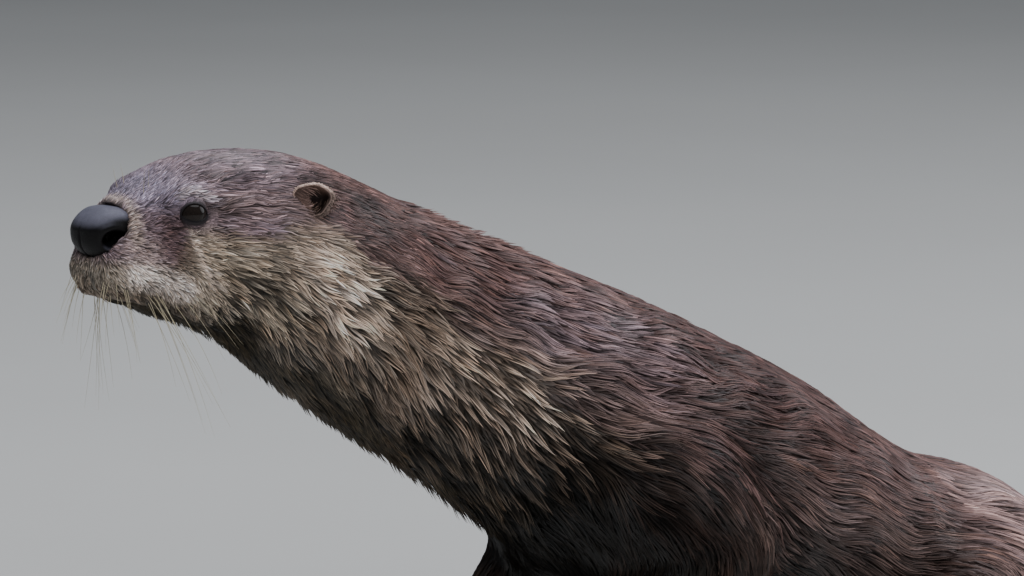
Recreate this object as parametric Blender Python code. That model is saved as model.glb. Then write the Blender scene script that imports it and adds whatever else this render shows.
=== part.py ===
"""River otter, life size: a still museum model that sits back on its haunches with the fore end raised.

Sizes are in metres. The animal faces -X, its left side is towards -Y, and +Z is up. Places are given as
(back from the nose tip, out to the animal's left, height above the floor). The flesh is modelled whole, from
lofted tubes and rounded lumps that a voxel remesh fuses, and is then parted with thin cuts into head, neck,
trunk, tail, legs and feet. Eyes, nose pad, ears and claws are pieces of their own, let into the flesh.
"""

import math
from collections import namedtuple

import bmesh
import bpy
from mathutils import Matrix, Vector

# ---------------------------------------------------------------- driving dimensions
GAP = 0.0003  # clearance between pieces that meet
SHARP_ANGLE = 50  # degrees; flatter edges are shaded smooth
EYE_RADIUS = 0.0062
SKIN_VOXEL = 0.0030  # grain of the fused flesh
SMOOTHING_PASSES = 18
BODY_TRIANGLES = 2840  # kept of the fused flesh for everything behind the head
HEAD_TRIANGLES = 7600  # the same, for the finer copy that the head is cut from
TUBE_SIDES = 28
REGION_SIDES = 12
SPAN_STEPS = 4  # rings between two named ones

# One named ring of a tube: where its centre is, and its half sizes across the tube's own line.
# "square" is 2 for an ellipse and more for a boxier ring; "belly" widens the lower half by that share.
Ring = namedtuple("Ring", "back side height half_height half_width square belly")

SPINE = {
    "muzzle_tip": Ring(0.0125, 0, 0.2525, 0.0100, 0.0100, 2.0, 0.0),
    "nostrils": Ring(0.0190, 0, 0.2530, 0.0185, 0.0175, 2.1, 0.0),
    "whisker_pads": Ring(0.0270, 0, 0.2545, 0.0240, 0.0215, 2.2, 0.05),
    "muzzle_bridge": Ring(0.0370, 0, 0.2550, 0.0295, 0.0250, 2.2, 0.10),
    "eyes": Ring(0.0490, 0, 0.2545, 0.0360, 0.0300, 2.2, 0.12),
    "brow": Ring(0.0680, 0, 0.2545, 0.0405, 0.0375, 2.2, 0.10),
    "crown": Ring(0.0900, 0, 0.2502, 0.0453, 0.0430, 2.1, 0.13),
    "ears": Ring(0.1120, 0, 0.2420, 0.0490, 0.0460, 2.1, 0.13),
    "nape": Ring(0.1500, 0, 0.2212, 0.0528, 0.0485, 2.0, 0.08),
    "mid_neck": Ring(0.1850, 0, 0.2035, 0.0550, 0.0500, 2.0, 0.04),
    "neck_root": Ring(0.2250, 0, 0.1840, 0.0585, 0.0530, 2.0, 0.04),
    "shoulders": Ring(0.2750, 0, 0.1575, 0.0630, 0.0585, 2.1, 0.05),
    "ribs": Ring(0.3300, 0, 0.1310, 0.0650, 0.0640, 2.1, 0.08),
    "last_ribs": Ring(0.3900, 0, 0.1050, 0.0630, 0.0660, 2.1, 0.10),
    "loins": Ring(0.4500, 0, 0.0800, 0.0590, 0.0650, 2.1, 0.12),
    "hips": Ring(0.5150, 0, 0.0570, 0.0530, 0.0620, 2.1, 0.12),
    "rump": Ring(0.5700, 0, 0.0400, 0.0425, 0.0560, 2.1, 0.10),
    "tail_root": Ring(0.6250, 0, 0.0290, 0.0315, 0.0400, 2.1, 0.05),
    "tail_thick": Ring(0.6750, 0.006, 0.0255, 0.0270, 0.0320, 2.1, 0.0),
    "tail_upper": Ring(0.7350, 0.018, 0.0205, 0.0220, 0.0260, 2.1, 0.0),
    "tail_middle": Ring(0.8100, 0.034, 0.0165, 0.0180, 0.0215, 2.0, 0.0),
    "tail_lower": Ring(0.8900, 0.044, 0.0125, 0.0138, 0.0165, 2.0, 0.0),
    "tail_thin": Ring(0.9650, 0.042, 0.0085, 0.0095, 0.0110, 2.0, 0.0),
    "tail_tip": Ring(1.0200, 0.034, 0.0055, 0.0058, 0.0060, 2.0, 0.0),
}

# Rounded masses on the head and body: centre (back, side, height) and half sizes in the same order.
# Those with a side above 0 are made on both sides.
LUMPS = {
    "whisker_pad": ((0.0240, 0.0098, 0.2470), (0.0155, 0.0140, 0.0125)),
    "chin": ((0.0280, 0.0, 0.2350), (0.0150, 0.0125, 0.0080)),
    "orbit": ((0.0490, 0.0190, 0.2715), (0.0150, 0.0122, 0.0120)),
    "brow_ridge": ((0.0560, 0.0180, 0.2780), (0.0160, 0.0100, 0.0095)),
    "cheek": ((0.0850, 0.0205, 0.2440), (0.0370, 0.0245, 0.0260)),
    "jowl": ((0.0540, 0.0145, 0.2440), (0.0300, 0.0185, 0.0175)),
    "shoulder_blade": ((0.2950, 0.0300, 0.1560), (0.0560, 0.0300, 0.0420)),
    "chest_side": ((0.3200, 0.0290, 0.1050), (0.0550, 0.0300, 0.0380)),
    "haunch": ((0.5000, 0.0400, 0.0620), (0.0500, 0.0340, 0.0430)),
}

# Legs, from inside the body down to the paw. The left one is given; "reach" carries a foot forwards.
FORELEG = {
    "blade": Ring(0.2860, 0.034, 0.1660, 0.0330, 0.0240, 2.0, 0.0),
    "shoulder": Ring(0.2900, 0.042, 0.1400, 0.0350, 0.0250, 2.0, 0.0),
    "upper_arm": Ring(0.3140, 0.049, 0.1180, 0.0350, 0.0250, 2.0, 0.0),
    "elbow": Ring(0.3340, 0.052, 0.0930, 0.0290, 0.0215, 2.0, 0.0),
    "forearm": Ring(0.3160, 0.053, 0.0640, 0.0210, 0.0180, 2.0, 0.0),
    "wrist": Ring(0.2880, 0.053, 0.0340, 0.0165, 0.0165, 2.0, 0.0),
    "heel_of_hand": Ring(0.2750, 0.053, 0.0130, 0.0130, 0.0180, 2.0, 0.0),
}
HINDLEG = {
    "hip": Ring(0.5400, 0.034, 0.0500, 0.0340, 0.0300, 2.0, 0.0),
    "thigh": Ring(0.5150, 0.050, 0.0580, 0.0380, 0.0290, 2.0, 0.0),
    "above_knee": Ring(0.4850, 0.062, 0.0540, 0.0330, 0.0240, 2.0, 0.0),
    "knee": Ring(0.4680, 0.070, 0.0500, 0.0250, 0.0210, 2.0, 0.0),
    "shank": Ring(0.4950, 0.071, 0.0360, 0.0210, 0.0190, 2.0, 0.0),
    "hock": Ring(0.5350, 0.069, 0.0240, 0.0160, 0.0170, 2.0, 0.0),
    "heel": Ring(0.5550, 0.068, 0.0150, 0.0120, 0.0140, 2.0, 0.0),
}
LEG_PARTING = 0.0050  # how far outside the foreleg's own tube the thin cut runs
THIGH_PLACE = (0.5130, 0.0660, 0.0480)  # the egg that parts the folded hind leg from the trunk
THIGH_HALF = (0.0860, 0.0380, 0.0500)
# Boxes that part the feet: how far they reach forwards, backwards and sideways, and their level tops.
FOREPAW_ROOM, WRIST_HEIGHT = (0.066, 0.040, 0.047), 0.026
HINDFOOT_ROOM, HOCK_HEIGHT = (0.100, 0.066, 0.050), 0.021

# A foot: sole centre, half sizes of the sole, toe root radius, and per toe its angle out and its length.
Foot = namedtuple("Foot", "back side sole_height half_sole angle toes toe_radius web claw_length")
FOREPAW = Foot(
    0.2600, 0.054, 0.0090, (0.0210, 0.0205, 0.0100), 4,
    ((-40, 0.0330), (-19, 0.0410), (0, 0.0440), (19, 0.0410), (40, 0.0330)),
    0.0068, (0.0270, 0.0260, 0.0050), 0.0135,
)
HINDFOOT = Foot(
    0.5080, 0.072, 0.0090, (0.0420, 0.0220, 0.0100), 8,
    ((-33, 0.0560), (-16, 0.0710), (0, 0.0770), (16, 0.0740), (33, 0.0620)),
    0.0072, (0.0540, 0.0310, 0.0050), 0.0130,
)
REACH = {"left": 0.0, "right": 0.035}  # the right forepaw stands further forward
# A toe's steps: share of its length, share of the toe's radius, and how far the knuckle lifts it.
TOE_STEPS = ((0.0, 1.0, 0.4), (0.45, 1.0, 0.6), (0.78, 0.95, 0.0), (1.0, 0.80, -0.4))
TOE_ROOT = 0.35  # where toes start, as a share of the sole's half length
KNUCKLE_RISE = 0.0045
WEB_SETBACK = 0.45  # how far ahead of the sole's centre the web's is, in web half lengths
# A claw's steps: share of its length, how far it drops below its root, and its radius.
CLAW_STEPS = ((0.0, 0.0010, 0.0027), (0.6, 0.0010, 0.0020), (1.0, 0.0034, 0.0006))
CLAW_ROOT = -0.5  # where it starts, ahead of the toe's last ring, in toe radii
CLAW_FLATNESS = 0.8

EYE_PLACE = (0.0478, 0.0256, 0.2714)
NOSE_PLACE = (0.0185, 0.0, 0.2635)
NOSE_HALF = (0.0125, 0.0150, 0.0114)
NOSE_SQUARE = 2.6
NOSE_TAPER = 0.30  # how much narrower, and further back, the pad's lower edge is
NOSTRIL_PLACE = (0.0130, 0.0112, 0.2610)
NOSTRIL_HALF = (0.0075, 0.0036, 0.0034)
NOSTRIL_TURN = 35  # degrees outwards
EAR_PLACE = (0.1030, 0.0385, 0.2742)
EAR_HALF = (0.0055, 0.0098, 0.0088)
EAR_TURN = 50  # how far the dish turns outwards from straight ahead
EAR_LEAN = 12
EAR_HOLLOW, EAR_HOLLOW_AHEAD = 0.78, 1.15  # size of the dish, and how far ahead, against the ear's own
# The thin cuts: a place on each plane, and how far its top leans back.
CUT_REACH = 0.5  # half the width of the boxes that cut, wider than the animal
HEAD_PLANE, HEAD_LEAN = (0.1400, 0, 0.2250), 28
NECK_PLANE, NECK_LEAN = (0.2300, 0, 0.1800), 30
TAIL_PLANE = (0.6350, 0, 0.03)
TAIL_END_PLANE = (0.8200, 0, 0.03)

COLOURS = {
    "coat": ((0.075, 0.045, 0.032, 1), 0.55),
    "nose": ((0.012, 0.012, 0.014, 1), 0.35),
    "eye": ((0.006, 0.005, 0.005, 1), 0.08),
    "claw": ((0.060, 0.045, 0.035, 1), 0.35),
}


def clear_scene():
    for obj in list(bpy.data.objects):
        bpy.data.objects.remove(obj)


def material(name):
    """The named finish, made once."""
    found = bpy.data.materials.get(name)
    if found:
        return found
    colour, roughness = COLOURS[name]
    made = bpy.data.materials.new(name)
    made.use_nodes = True
    shader = made.node_tree.nodes["Principled BSDF"]
    shader.inputs["Base Color"].default_value = colour
    shader.inputs["Roughness"].default_value = roughness
    return made


def at(back, side, height):
    """A place on the animal as a point: back from the nose is +X, its left is -Y."""
    return Vector((back, -side, height))


# ---------------------------------------------------------------- building shapes
def new_object(name, mesh_maker, finish=None):
    """An object whose mesh is filled by mesh_maker(bm), with its normals turned outwards."""
    bm = bmesh.new()
    mesh_maker(bm)
    bmesh.ops.recalc_face_normals(bm, faces=bm.faces)
    mesh = bpy.data.meshes.new(name)
    bm.to_mesh(mesh)
    bm.free()
    obj = bpy.data.objects.new(name, mesh)
    bpy.context.scene.collection.objects.link(obj)
    if finish:
        mesh.materials.append(material(finish))
    return obj


def smooth_rings(rings):
    """The named rings with SPAN_STEPS between each two, on a Catmull-Rom curve through every size."""
    rows = [tuple(r) for r in rings]
    rows = [rows[0], *rows, rows[-1]]
    out = []
    for a, b, c, d in zip(rows, rows[1:], rows[2:], rows[3:]):
        for step in range(SPAN_STEPS):
            t = step / SPAN_STEPS
            out.append(
                Ring(*(
                    q + 0.5 * t * (r - p + t * (2 * p - 5 * q + 4 * r - s + t * (3 * (q - r) + s - p)))
                    for p, q, r, s in zip(a, b, c, d)
                ))
            )
    out.append(Ring(*rows[-1]))
    return out


def ring_points(ring, along, grow, sides):
    """The points of one ring, a superellipse square to the tube's direction "along"."""
    across = Vector((0, -1, 0))
    across = (across - along * across.dot(along)).normalized()
    up = across.cross(along)
    centre = at(ring.back, ring.side, ring.height)
    power = 2 / ring.square
    for k in range(sides):
        turn = 2 * math.pi * k / sides
        c, s = math.cos(turn), math.sin(turn)
        wide = math.copysign(abs(c) ** power, c) * (1 + ring.belly * max(0, -s))
        high = math.copysign(abs(s) ** power, s)
        yield centre + across * wide * (ring.half_width + grow) + up * high * (ring.half_height + grow)


def tube(name, rings, grow=0.0, sides=TUBE_SIDES, steps=True, finish=None):
    """A closed tube through the rings, with rounded ends; grow makes it that much larger all round."""
    rows = smooth_rings(rings) if steps else list(rings)
    centres = [at(r.back, r.side, r.height) for r in rows]

    def fill(bm):
        loops = []
        for i, ring in enumerate(rows):
            along = (centres[min(i + 1, len(rows) - 1)] - centres[max(i - 1, 0)]).normalized()
            points = ring_points(ring, along, grow, sides)
            loops.append([bm.verts.new(p) for p in points])
        for first, second in zip(loops, loops[1:]):
            for k in range(sides):
                following = (k + 1) % sides
                bm.faces.new((first[k], first[following], second[following], second[k]))
        for loop, inner, end in ((loops[0], centres[1], centres[0]), (loops[-1], centres[-2], centres[-1])):
            size = min(rows[0 if end == centres[0] else -1][3:5]) + grow
            pole = bm.verts.new(end + (end - inner).normalized() * size * 0.5)
            for k in range(sides):
                bm.faces.new((loop[k], loop[(k + 1) % sides], pole))

    return new_object(name, fill, finish)


def ellipsoid(name, place, half, turn=None, grow=0.0, segments=20, rings=12, finish=None):
    """An ellipsoid at a place, with half sizes (back, side, height); turn is a rotation matrix about it."""
    size = Matrix.Diagonal((*(h + grow for h in half), 1))
    where = Matrix.Translation(at(*place)) @ (turn or Matrix.Identity(4)) @ size

    def fill(bm):
        bmesh.ops.create_uvsphere(bm, u_segments=segments, v_segments=rings, radius=1, matrix=where)

    return new_object(name, fill, finish)


def hull(name, rings, grow=0.0):
    """The convex solid stretched round a tube's rings, let out by grow."""
    inner = tube(name, rings, grow=grow, sides=REGION_SIDES, steps=False)

    def fill(bm):
        bm.from_mesh(inner.data)
        made = bmesh.ops.convex_hull(bm, input=bm.verts)
        bmesh.ops.delete(bm, geom=list(set(made["geom_interior"] + made["geom_unused"])), context="VERTS")
        loose = [face for face in bm.faces if face not in made["geom"]]
        bmesh.ops.delete(bm, geom=loose, context="FACES_ONLY")

    made = new_object(name, fill)
    removed(inner)
    return made


def block(name, low, high, turn=None):
    """A box between two corners (x, y, z)."""
    low, high = Vector(low), Vector(high)
    where = Matrix.Translation((low + high) / 2) @ (turn or Matrix.Identity(4))
    where = where @ Matrix.Diagonal((*(high - low), 1))

    def fill(bm):
        bmesh.ops.create_cube(bm, size=1, matrix=where)

    return new_object(name, fill)


# ---------------------------------------------------------------- changing shapes
def applied(obj):
    """Replaces the object's mesh with what its modifiers make of it."""
    graph = bpy.context.evaluated_depsgraph_get()
    mesh = bpy.data.meshes.new_from_object(obj.evaluated_get(graph))
    obj.modifiers.clear()
    obj.data = mesh
    return obj


def boolean(obj, other, operation):
    modifier = obj.modifiers.new(operation.lower(), "BOOLEAN")
    modifier.operation = operation
    modifier.solver = "EXACT"
    modifier.object = other
    return applied(obj)


def copied(obj, name):
    made = bpy.data.objects.new(name, obj.data.copy())
    bpy.context.scene.collection.objects.link(made)
    return made


def removed(*objects):
    for obj in objects:
        bpy.data.objects.remove(obj)


def joined(name, objects):
    """One object holding all these meshes, still as separate shells."""

    def fill(bm):
        for obj in objects:
            bm.from_mesh(obj.data)

    made = new_object(name, fill)
    removed(*objects)
    return made


def part_off(whole, name, region, grown_region):
    """Takes what lies in the region off the whole as a node of its own, and leaves the gap round it."""
    piece = boolean(copied(whole, name), region, "INTERSECT")
    boolean(whole, grown_region, "DIFFERENCE")
    removed(region, grown_region)
    return piece


# ---------------------------------------------------------------- feet
def sides():
    return (("left", 1), ("right", -1))


def foot_frame(foot, sign, reach):
    """Turns (forwards, outwards, up) from the sole's centre into a place, for the left or right foot."""
    out = math.radians(foot.angle)

    def place(forwards, outwards, up):
        f = forwards * math.cos(out) - outwards * math.sin(out)
        o = forwards * math.sin(out) + outwards * math.cos(out)
        return foot.back - reach - f, sign * (foot.side + o), up

    return place


def toe_rings(foot, place, angle, length):
    """A toe from inside the sole to its tip, with a raised knuckle."""
    a = math.radians(angle)
    root = foot.half_sole[0] * TOE_ROOT
    for step, share, lift in TOE_STEPS:
        along = root + (length - root) * step
        height = foot.toe_radius + KNUCKLE_RISE * lift
        back, side, up = place(along * math.cos(a), along * math.sin(a), height)
        radius = foot.toe_radius * share
        yield Ring(back, side, up, radius, radius, 2.0, 0.0)


def foot_shapes(kind, foot, sign, reach):
    """The sole, web and toes of one foot, as separate shells that the remesh fuses."""
    place = foot_frame(foot, sign, reach)
    turn = Matrix.Rotation(math.radians(foot.angle) * sign, 4, "Z")
    shapes = [
        ellipsoid(kind + "_sole", place(0, 0, foot.sole_height), foot.half_sole, turn),
        ellipsoid(kind + "_web", place(foot.web[0] * WEB_SETBACK, 0, foot.web[2]), foot.web, turn),
    ]
    for angle, length in foot.toes:
        shapes.append(tube(kind + "_toe", list(toe_rings(foot, place, angle, length)), sides=12))
    return shapes


def claws(kind, side, foot, sign, reach, flesh):
    """Five claws, each a bent cone that starts on its toe's tip and points forwards and down."""
    place = foot_frame(foot, sign, reach)
    for number, (angle, length) in enumerate(foot.toes, start=1):
        a = math.radians(angle)
        rings = []
        for share, drop, radius in CLAW_STEPS:
            along = length + foot.toe_radius * CLAW_ROOT + share * foot.claw_length
            back, out, up = place(along * math.cos(a), along * math.sin(a), foot.toe_radius - drop)
            rings.append(Ring(back, out, up, radius, radius * CLAW_FLATNESS, 2.0, 0.0))
        claw = tube(f"claw_{kind}_{side}_{number}", rings, sides=6, steps=False, finish="claw")
        boolean(claw, flesh, "DIFFERENCE")
        keep_largest(claw)
        forwards = at(*place(math.cos(a), math.sin(a), 0)) - at(*place(0, 0, 0))
        claw.location = forwards * GAP


def keep_largest(obj):
    """Drops all but the largest loose piece of the object's mesh."""
    bm = bmesh.new()
    bm.from_mesh(obj.data)
    left = set(bm.verts)
    shells = []
    while left:
        shell, todo = set(), [next(iter(left))]
        while todo:
            vert = todo.pop()
            if vert in shell:
                continue
            shell.add(vert)
            todo += [edge.other_vert(vert) for edge in vert.link_edges]
        left -= shell
        shells.append(shell)
    if len(shells) > 1:
        keep = max(shells, key=lambda s: sum(f.calc_area() for f in {f for v in s for f in v.link_faces}))
        bmesh.ops.delete(bm, geom=[v for v in bm.verts if v not in keep], context="VERTS")
        bm.to_mesh(obj.data)
    bm.free()
    return obj


# ---------------------------------------------------------------- the flesh, whole
def leg_rings(leg, sign, reach):
    """The leg's rings on this side, sheared forwards by reach from the elbow or knee down to the foot."""
    top = max(r.height for r in leg.values())
    for ring in leg.values():
        share = 1 - ring.height / top
        yield ring._replace(back=ring.back - reach * share, side=sign * ring.side)


def whole_flesh():
    shapes = [tube("spine", list(SPINE.values()))]
    for name, (place, half) in LUMPS.items():
        for sign in (1, -1) if place[1] else (1,):
            shapes.append(ellipsoid(name, (place[0], sign * place[1], place[2]), half))
    for side, sign in sides():
        reach = REACH[side]
        shapes.append(tube("foreleg", list(leg_rings(FORELEG, sign, reach))))
        shapes.append(tube("hindleg", list(leg_rings(HINDLEG, sign, 0))))
        shapes += foot_shapes("forepaw", FOREPAW, sign, reach)
        shapes += foot_shapes("hindfoot", HINDFOOT, sign, 0)
    flesh = joined("flesh", shapes)
    remesh = flesh.modifiers.new("fuse", "REMESH")
    remesh.mode = "VOXEL"
    remesh.voxel_size = SKIN_VOXEL
    smooth = flesh.modifiers.new("relax", "SMOOTH")
    smooth.factor = 0.5
    smooth.iterations = SMOOTHING_PASSES
    applied(flesh)
    return flesh


def thinned(flesh, triangles):
    """Keeps about so many triangles, then cuts the animal off level where it rests on the floor."""
    flesh.data.materials.append(material("coat"))
    thin = flesh.modifiers.new("thin", "DECIMATE")
    thin.ratio = triangles / sum(len(p.vertices) - 2 for p in flesh.data.polygons)
    applied(flesh)
    length = SPINE["tail_tip"].back
    floor = block("floor", (-CUT_REACH, -CUT_REACH, -CUT_REACH), (length + CUT_REACH, CUT_REACH, 0.0))
    boolean(flesh, floor, "DIFFERENCE")
    removed(floor)
    return flesh


# ---------------------------------------------------------------- thin cuts
def ahead_of(place, lean, grow=0.0):
    """A box that holds everything in front of a plane through the place; lean tips its top backwards."""
    turn = Matrix.Rotation(math.radians(lean), 4, "Y")
    box = block("front", (-CUT_REACH, -CUT_REACH, -CUT_REACH), (grow, CUT_REACH, CUT_REACH))
    box.data.transform(Matrix.Translation(at(*place)) @ turn)
    return box


def behind(place, grow=0.0):
    """A box that holds everything behind an upright plane through the place."""
    box = block("back", (-grow, -CUT_REACH, -CUT_REACH), (CUT_REACH, CUT_REACH, CUT_REACH))
    box.data.transform(Matrix.Translation(at(*place)))
    return box


def foot_block(foot, sign, reach, room, ankle_height, grow):
    """A box over the whole foot, up to the ankle's level."""
    middle = at(foot.back - reach, sign * foot.side, 0)
    low = middle - Vector((room[0] + grow, room[2] + grow, room[2]))
    high = middle + Vector((room[1], room[2], ankle_height)) + Vector((grow, grow, grow))
    return block("foot_block", low, high)


def part_legs(flesh):
    """Feet come off with level blocks, forelegs along a tube round their own, hind legs along an egg."""
    for side, sign in sides():
        reach = REACH[side]

        def forepaw(grow):
            return foot_block(FOREPAW, sign, reach, FOREPAW_ROOM, WRIST_HEIGHT, grow)

        def foreleg(grow):
            return hull("region", list(leg_rings(FORELEG, sign, reach)), grow=LEG_PARTING + grow)

        def hindfoot(grow):
            return foot_block(HINDFOOT, sign, 0, HINDFOOT_ROOM, HOCK_HEIGHT, grow)

        def hindleg(grow):
            place = (THIGH_PLACE[0], sign * THIGH_PLACE[1], THIGH_PLACE[2])
            return ellipsoid("region", place, THIGH_HALF, grow=grow, segments=20, rings=12)

        for region in (forepaw, foreleg, hindfoot, hindleg):
            part_off(flesh, f"{region.__name__}_{side}", region(0), region(GAP))


def part_head(head, flesh):
    """The head comes from the finer copy; the same plane, a gap further back, trims the rest."""
    front = ahead_of(HEAD_PLANE, HEAD_LEAN)
    front_and_gap = ahead_of(HEAD_PLANE, HEAD_LEAN, GAP)
    boolean(head, front, "INTERSECT")
    boolean(flesh, front_and_gap, "DIFFERENCE")
    removed(front, front_and_gap)


def part_trunk(flesh):
    """Neck and two lengths of tail come off the trunk along planes square to the body's line."""
    part_off(flesh, "neck", ahead_of(NECK_PLANE, NECK_LEAN), ahead_of(NECK_PLANE, NECK_LEAN, GAP))
    part_off(flesh, "tail_end", behind(TAIL_END_PLANE), behind(TAIL_END_PLANE, GAP))
    part_off(flesh, "tail_base", behind(TAIL_PLANE), behind(TAIL_PLANE, GAP))
    flesh.name = "trunk"


# ---------------------------------------------------------------- pieces let into the head
def eyes(head):
    """Each eye is a ball in a socket; the lids belong to the coat's own modelling."""
    for side, sign in sides():
        place = (EYE_PLACE[0], sign * EYE_PLACE[1], EYE_PLACE[2])
        ball = (EYE_RADIUS, EYE_RADIUS, EYE_RADIUS)
        ellipsoid(f"eye_{side}", place, ball, segments=14, rings=8, finish="eye")
        socket = ellipsoid("socket", place, ball, grow=GAP, segments=14, rings=8)
        boolean(head, socket, "DIFFERENCE")
        removed(socket)


def nose_pad(name, grow=0.0, finish=None):
    """A boxy egg whose lower edge is narrower and set back."""
    pad = ellipsoid(name, (0, 0, 0), (1, 1, 1), segments=14, rings=10, finish=finish)
    half = [h + grow for h in NOSE_HALF]
    for vert in pad.data.vertices:
        x, y, z = vert.co
        size = sum(abs(c) ** NOSE_SQUARE for c in (x, y, z)) ** (-1 / NOSE_SQUARE)
        low = (1 - z * size) / 2
        y *= 1 - NOSE_TAPER * low
        x += NOSE_TAPER * low * (1 - abs(x))
        vert.co = at(*NOSE_PLACE) + Vector((x * size * half[0], y * size * half[1], z * size * half[2]))
    return pad


def nose(head):
    """The bare pad with two comma-shaped nostrils, in a socket at the muzzle's tip."""
    pad = nose_pad("nose", finish="nose")
    socket = nose_pad("socket", grow=GAP)
    boolean(head, socket, "DIFFERENCE")
    removed(socket)
    for sign in (1, -1):
        turn = Matrix.Rotation(math.radians(-NOSTRIL_TURN * sign), 4, "Z")
        place = (NOSTRIL_PLACE[0], sign * NOSTRIL_PLACE[1], NOSTRIL_PLACE[2])
        hole = ellipsoid("hole", place, NOSTRIL_HALF, turn, segments=10, rings=6)
        boolean(pad, hole, "DIFFERENCE")
        removed(hole)


def ears(flesh):
    """Each ear is a small rounded flap, dished in front, that grows out of the side of the head."""
    for side, sign in sides():
        turn = Matrix.Rotation(math.radians(EAR_TURN * sign), 4, "Z")
        turn = turn @ Matrix.Rotation(math.radians(EAR_LEAN), 4, "Y")
        place = (EAR_PLACE[0], sign * EAR_PLACE[1], EAR_PLACE[2])
        ear = ellipsoid(f"ear_{side}", place, EAR_HALF, turn, segments=12, rings=8, finish="coat")
        forwards = turn @ Vector((-1, 0, 0))
        hollow_at = at(*place) + forwards * EAR_HALF[0] * EAR_HOLLOW_AHEAD
        hollow_half = [h * EAR_HOLLOW for h in EAR_HALF]
        hollow_place = (hollow_at.x, -hollow_at.y, hollow_at.z)
        hollow = ellipsoid("hollow", hollow_place, hollow_half, turn, segments=10, rings=6)
        boolean(ear, hollow, "DIFFERENCE")
        boolean(ear, flesh, "DIFFERENCE")
        removed(hollow)
        keep_largest(ear)
        ear.location = Vector((0, -sign, 0.5)).normalized() * GAP


def centred():
    """Hangs every piece on one empty, placed so that the box's bottom centre is the origin."""
    bpy.context.view_layer.update()
    corners = [o.matrix_world @ Vector(c) for o in bpy.data.objects for c in o.bound_box]
    low = Vector([min(c[i] for c in corners) for i in range(3)])
    high = Vector([max(c[i] for c in corners) for i in range(3)])
    otter = bpy.data.objects.new("otter", None)
    bpy.context.scene.collection.objects.link(otter)
    for obj in list(bpy.data.objects):
        if obj is not otter:
            obj.parent = otter
            obj.data.shade_smooth()
            obj.data.set_sharp_from_angle(angle=math.radians(SHARP_ANGLE))
    otter.location = (-(low.x + high.x) / 2, -(low.y + high.y) / 2, -low.z)


def build():
    clear_scene()
    flesh = whole_flesh()
    head = thinned(copied(flesh, "head"), HEAD_TRIANGLES)
    flesh = thinned(flesh, BODY_TRIANGLES)
    ears(head)
    for side, sign in sides():
        claws("fore", side, FOREPAW, sign, REACH[side], flesh)
        claws("hind", side, HINDFOOT, sign, 0, flesh)
    nose(head)
    eyes(head)
    part_head(head, flesh)
    part_legs(flesh)
    part_trunk(flesh)
    centred()


build()
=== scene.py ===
import bmesh
import bpy
import numpy as np
from mathutils import Matrix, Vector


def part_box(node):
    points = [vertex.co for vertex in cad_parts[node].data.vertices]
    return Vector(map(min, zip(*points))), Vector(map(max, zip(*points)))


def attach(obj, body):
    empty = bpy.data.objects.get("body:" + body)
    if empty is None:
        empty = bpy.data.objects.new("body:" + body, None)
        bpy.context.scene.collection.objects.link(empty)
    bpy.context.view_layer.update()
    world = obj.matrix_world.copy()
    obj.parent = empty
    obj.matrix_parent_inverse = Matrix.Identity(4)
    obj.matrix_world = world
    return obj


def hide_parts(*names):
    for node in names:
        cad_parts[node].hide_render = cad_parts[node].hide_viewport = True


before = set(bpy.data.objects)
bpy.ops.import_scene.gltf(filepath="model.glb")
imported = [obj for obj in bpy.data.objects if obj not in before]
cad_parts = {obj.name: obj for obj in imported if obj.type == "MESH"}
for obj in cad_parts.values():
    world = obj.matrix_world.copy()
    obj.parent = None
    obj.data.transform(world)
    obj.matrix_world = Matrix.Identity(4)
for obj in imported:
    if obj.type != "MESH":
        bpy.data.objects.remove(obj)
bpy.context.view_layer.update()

# ---------------------------------------------------------------------------------------------
# Hide: the animal's whole skin as one closed surface, from lips to tail tip and down to the toes.
# Skin with dense underfur, very dark when wet and painted darker still as shade between the locks. It is
# grown together from the flesh solids, drawn in by the depth of the coat, and finely divided over the head,
# where the folds are formed.
FLESH = ["head", "neck", "trunk", "tail_base", "tail_end"]
FLESH += [part + side for side in ("_left", "_right") for part in ("foreleg", "forepaw", "hindleg", "hindfoot")]
SKIN_STEP = 0.003  # edge length of the surface grown over the solids
SEAM_SWELL = 0.0004  # how far the solids are swollen so that neighbours meet
HEAD_LENGTHS = (0.14, 0.058)  # the skin is divided twice as fine within each of these behind the lips
SMOOTH_IN, SMOOTH_OUT = 0.5, -0.45  # shares of a smoothing pass and of the step back that keeps the volume
MUZZLE_BACK = 0.0061  # how far the tip of the nose pad is behind the lips' foremost point
LIPS = np.array([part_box("nose")[0][0] - MUZZLE_BACK, 0.0, 0.0])
SIDES = (("_left", -1.0), ("_right", 1.0))  # the left side is -Y


def unit(v):
    """Each row divided by its own length."""
    return v / np.maximum(np.linalg.norm(v, axis=-1, keepdims=True), 1e-12)


def cross(a, b):
    """The cross product, row by row."""
    return np.stack((
        a[..., 1] * b[..., 2] - a[..., 2] * b[..., 1],
        a[..., 2] * b[..., 0] - a[..., 0] * b[..., 2],
        a[..., 0] * b[..., 1] - a[..., 1] * b[..., 0]), axis=-1)


def ramp(x, low, high):
    """0 below low and 1 above high, with a smooth S between them; low may be the larger."""
    t = np.clip((x - low) / (high - low), 0.0, 1.0)
    return t * t * (3.0 - 2.0 * t)


def ripple(points, size, seed, waves=9):
    """Smooth noise of about -1 to 1: seeded plane sine waves, each about size long, added up."""
    rng = np.random.default_rng(seed)
    heading = unit(rng.normal(size=(waves, 3))) * 2.0 * np.pi / (size * rng.uniform(0.7, 1.5, (waves, 1)))
    total = np.sin(points @ heading.T + rng.uniform(0.0, 6.28, waves)).sum(axis=1)
    return total / np.sqrt(0.5 * waves) * 0.6


def box_of(name):
    """The low and high corner of a solid's box, as arrays."""
    low, high = (np.array(corner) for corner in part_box(name))
    return low, high


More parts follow.
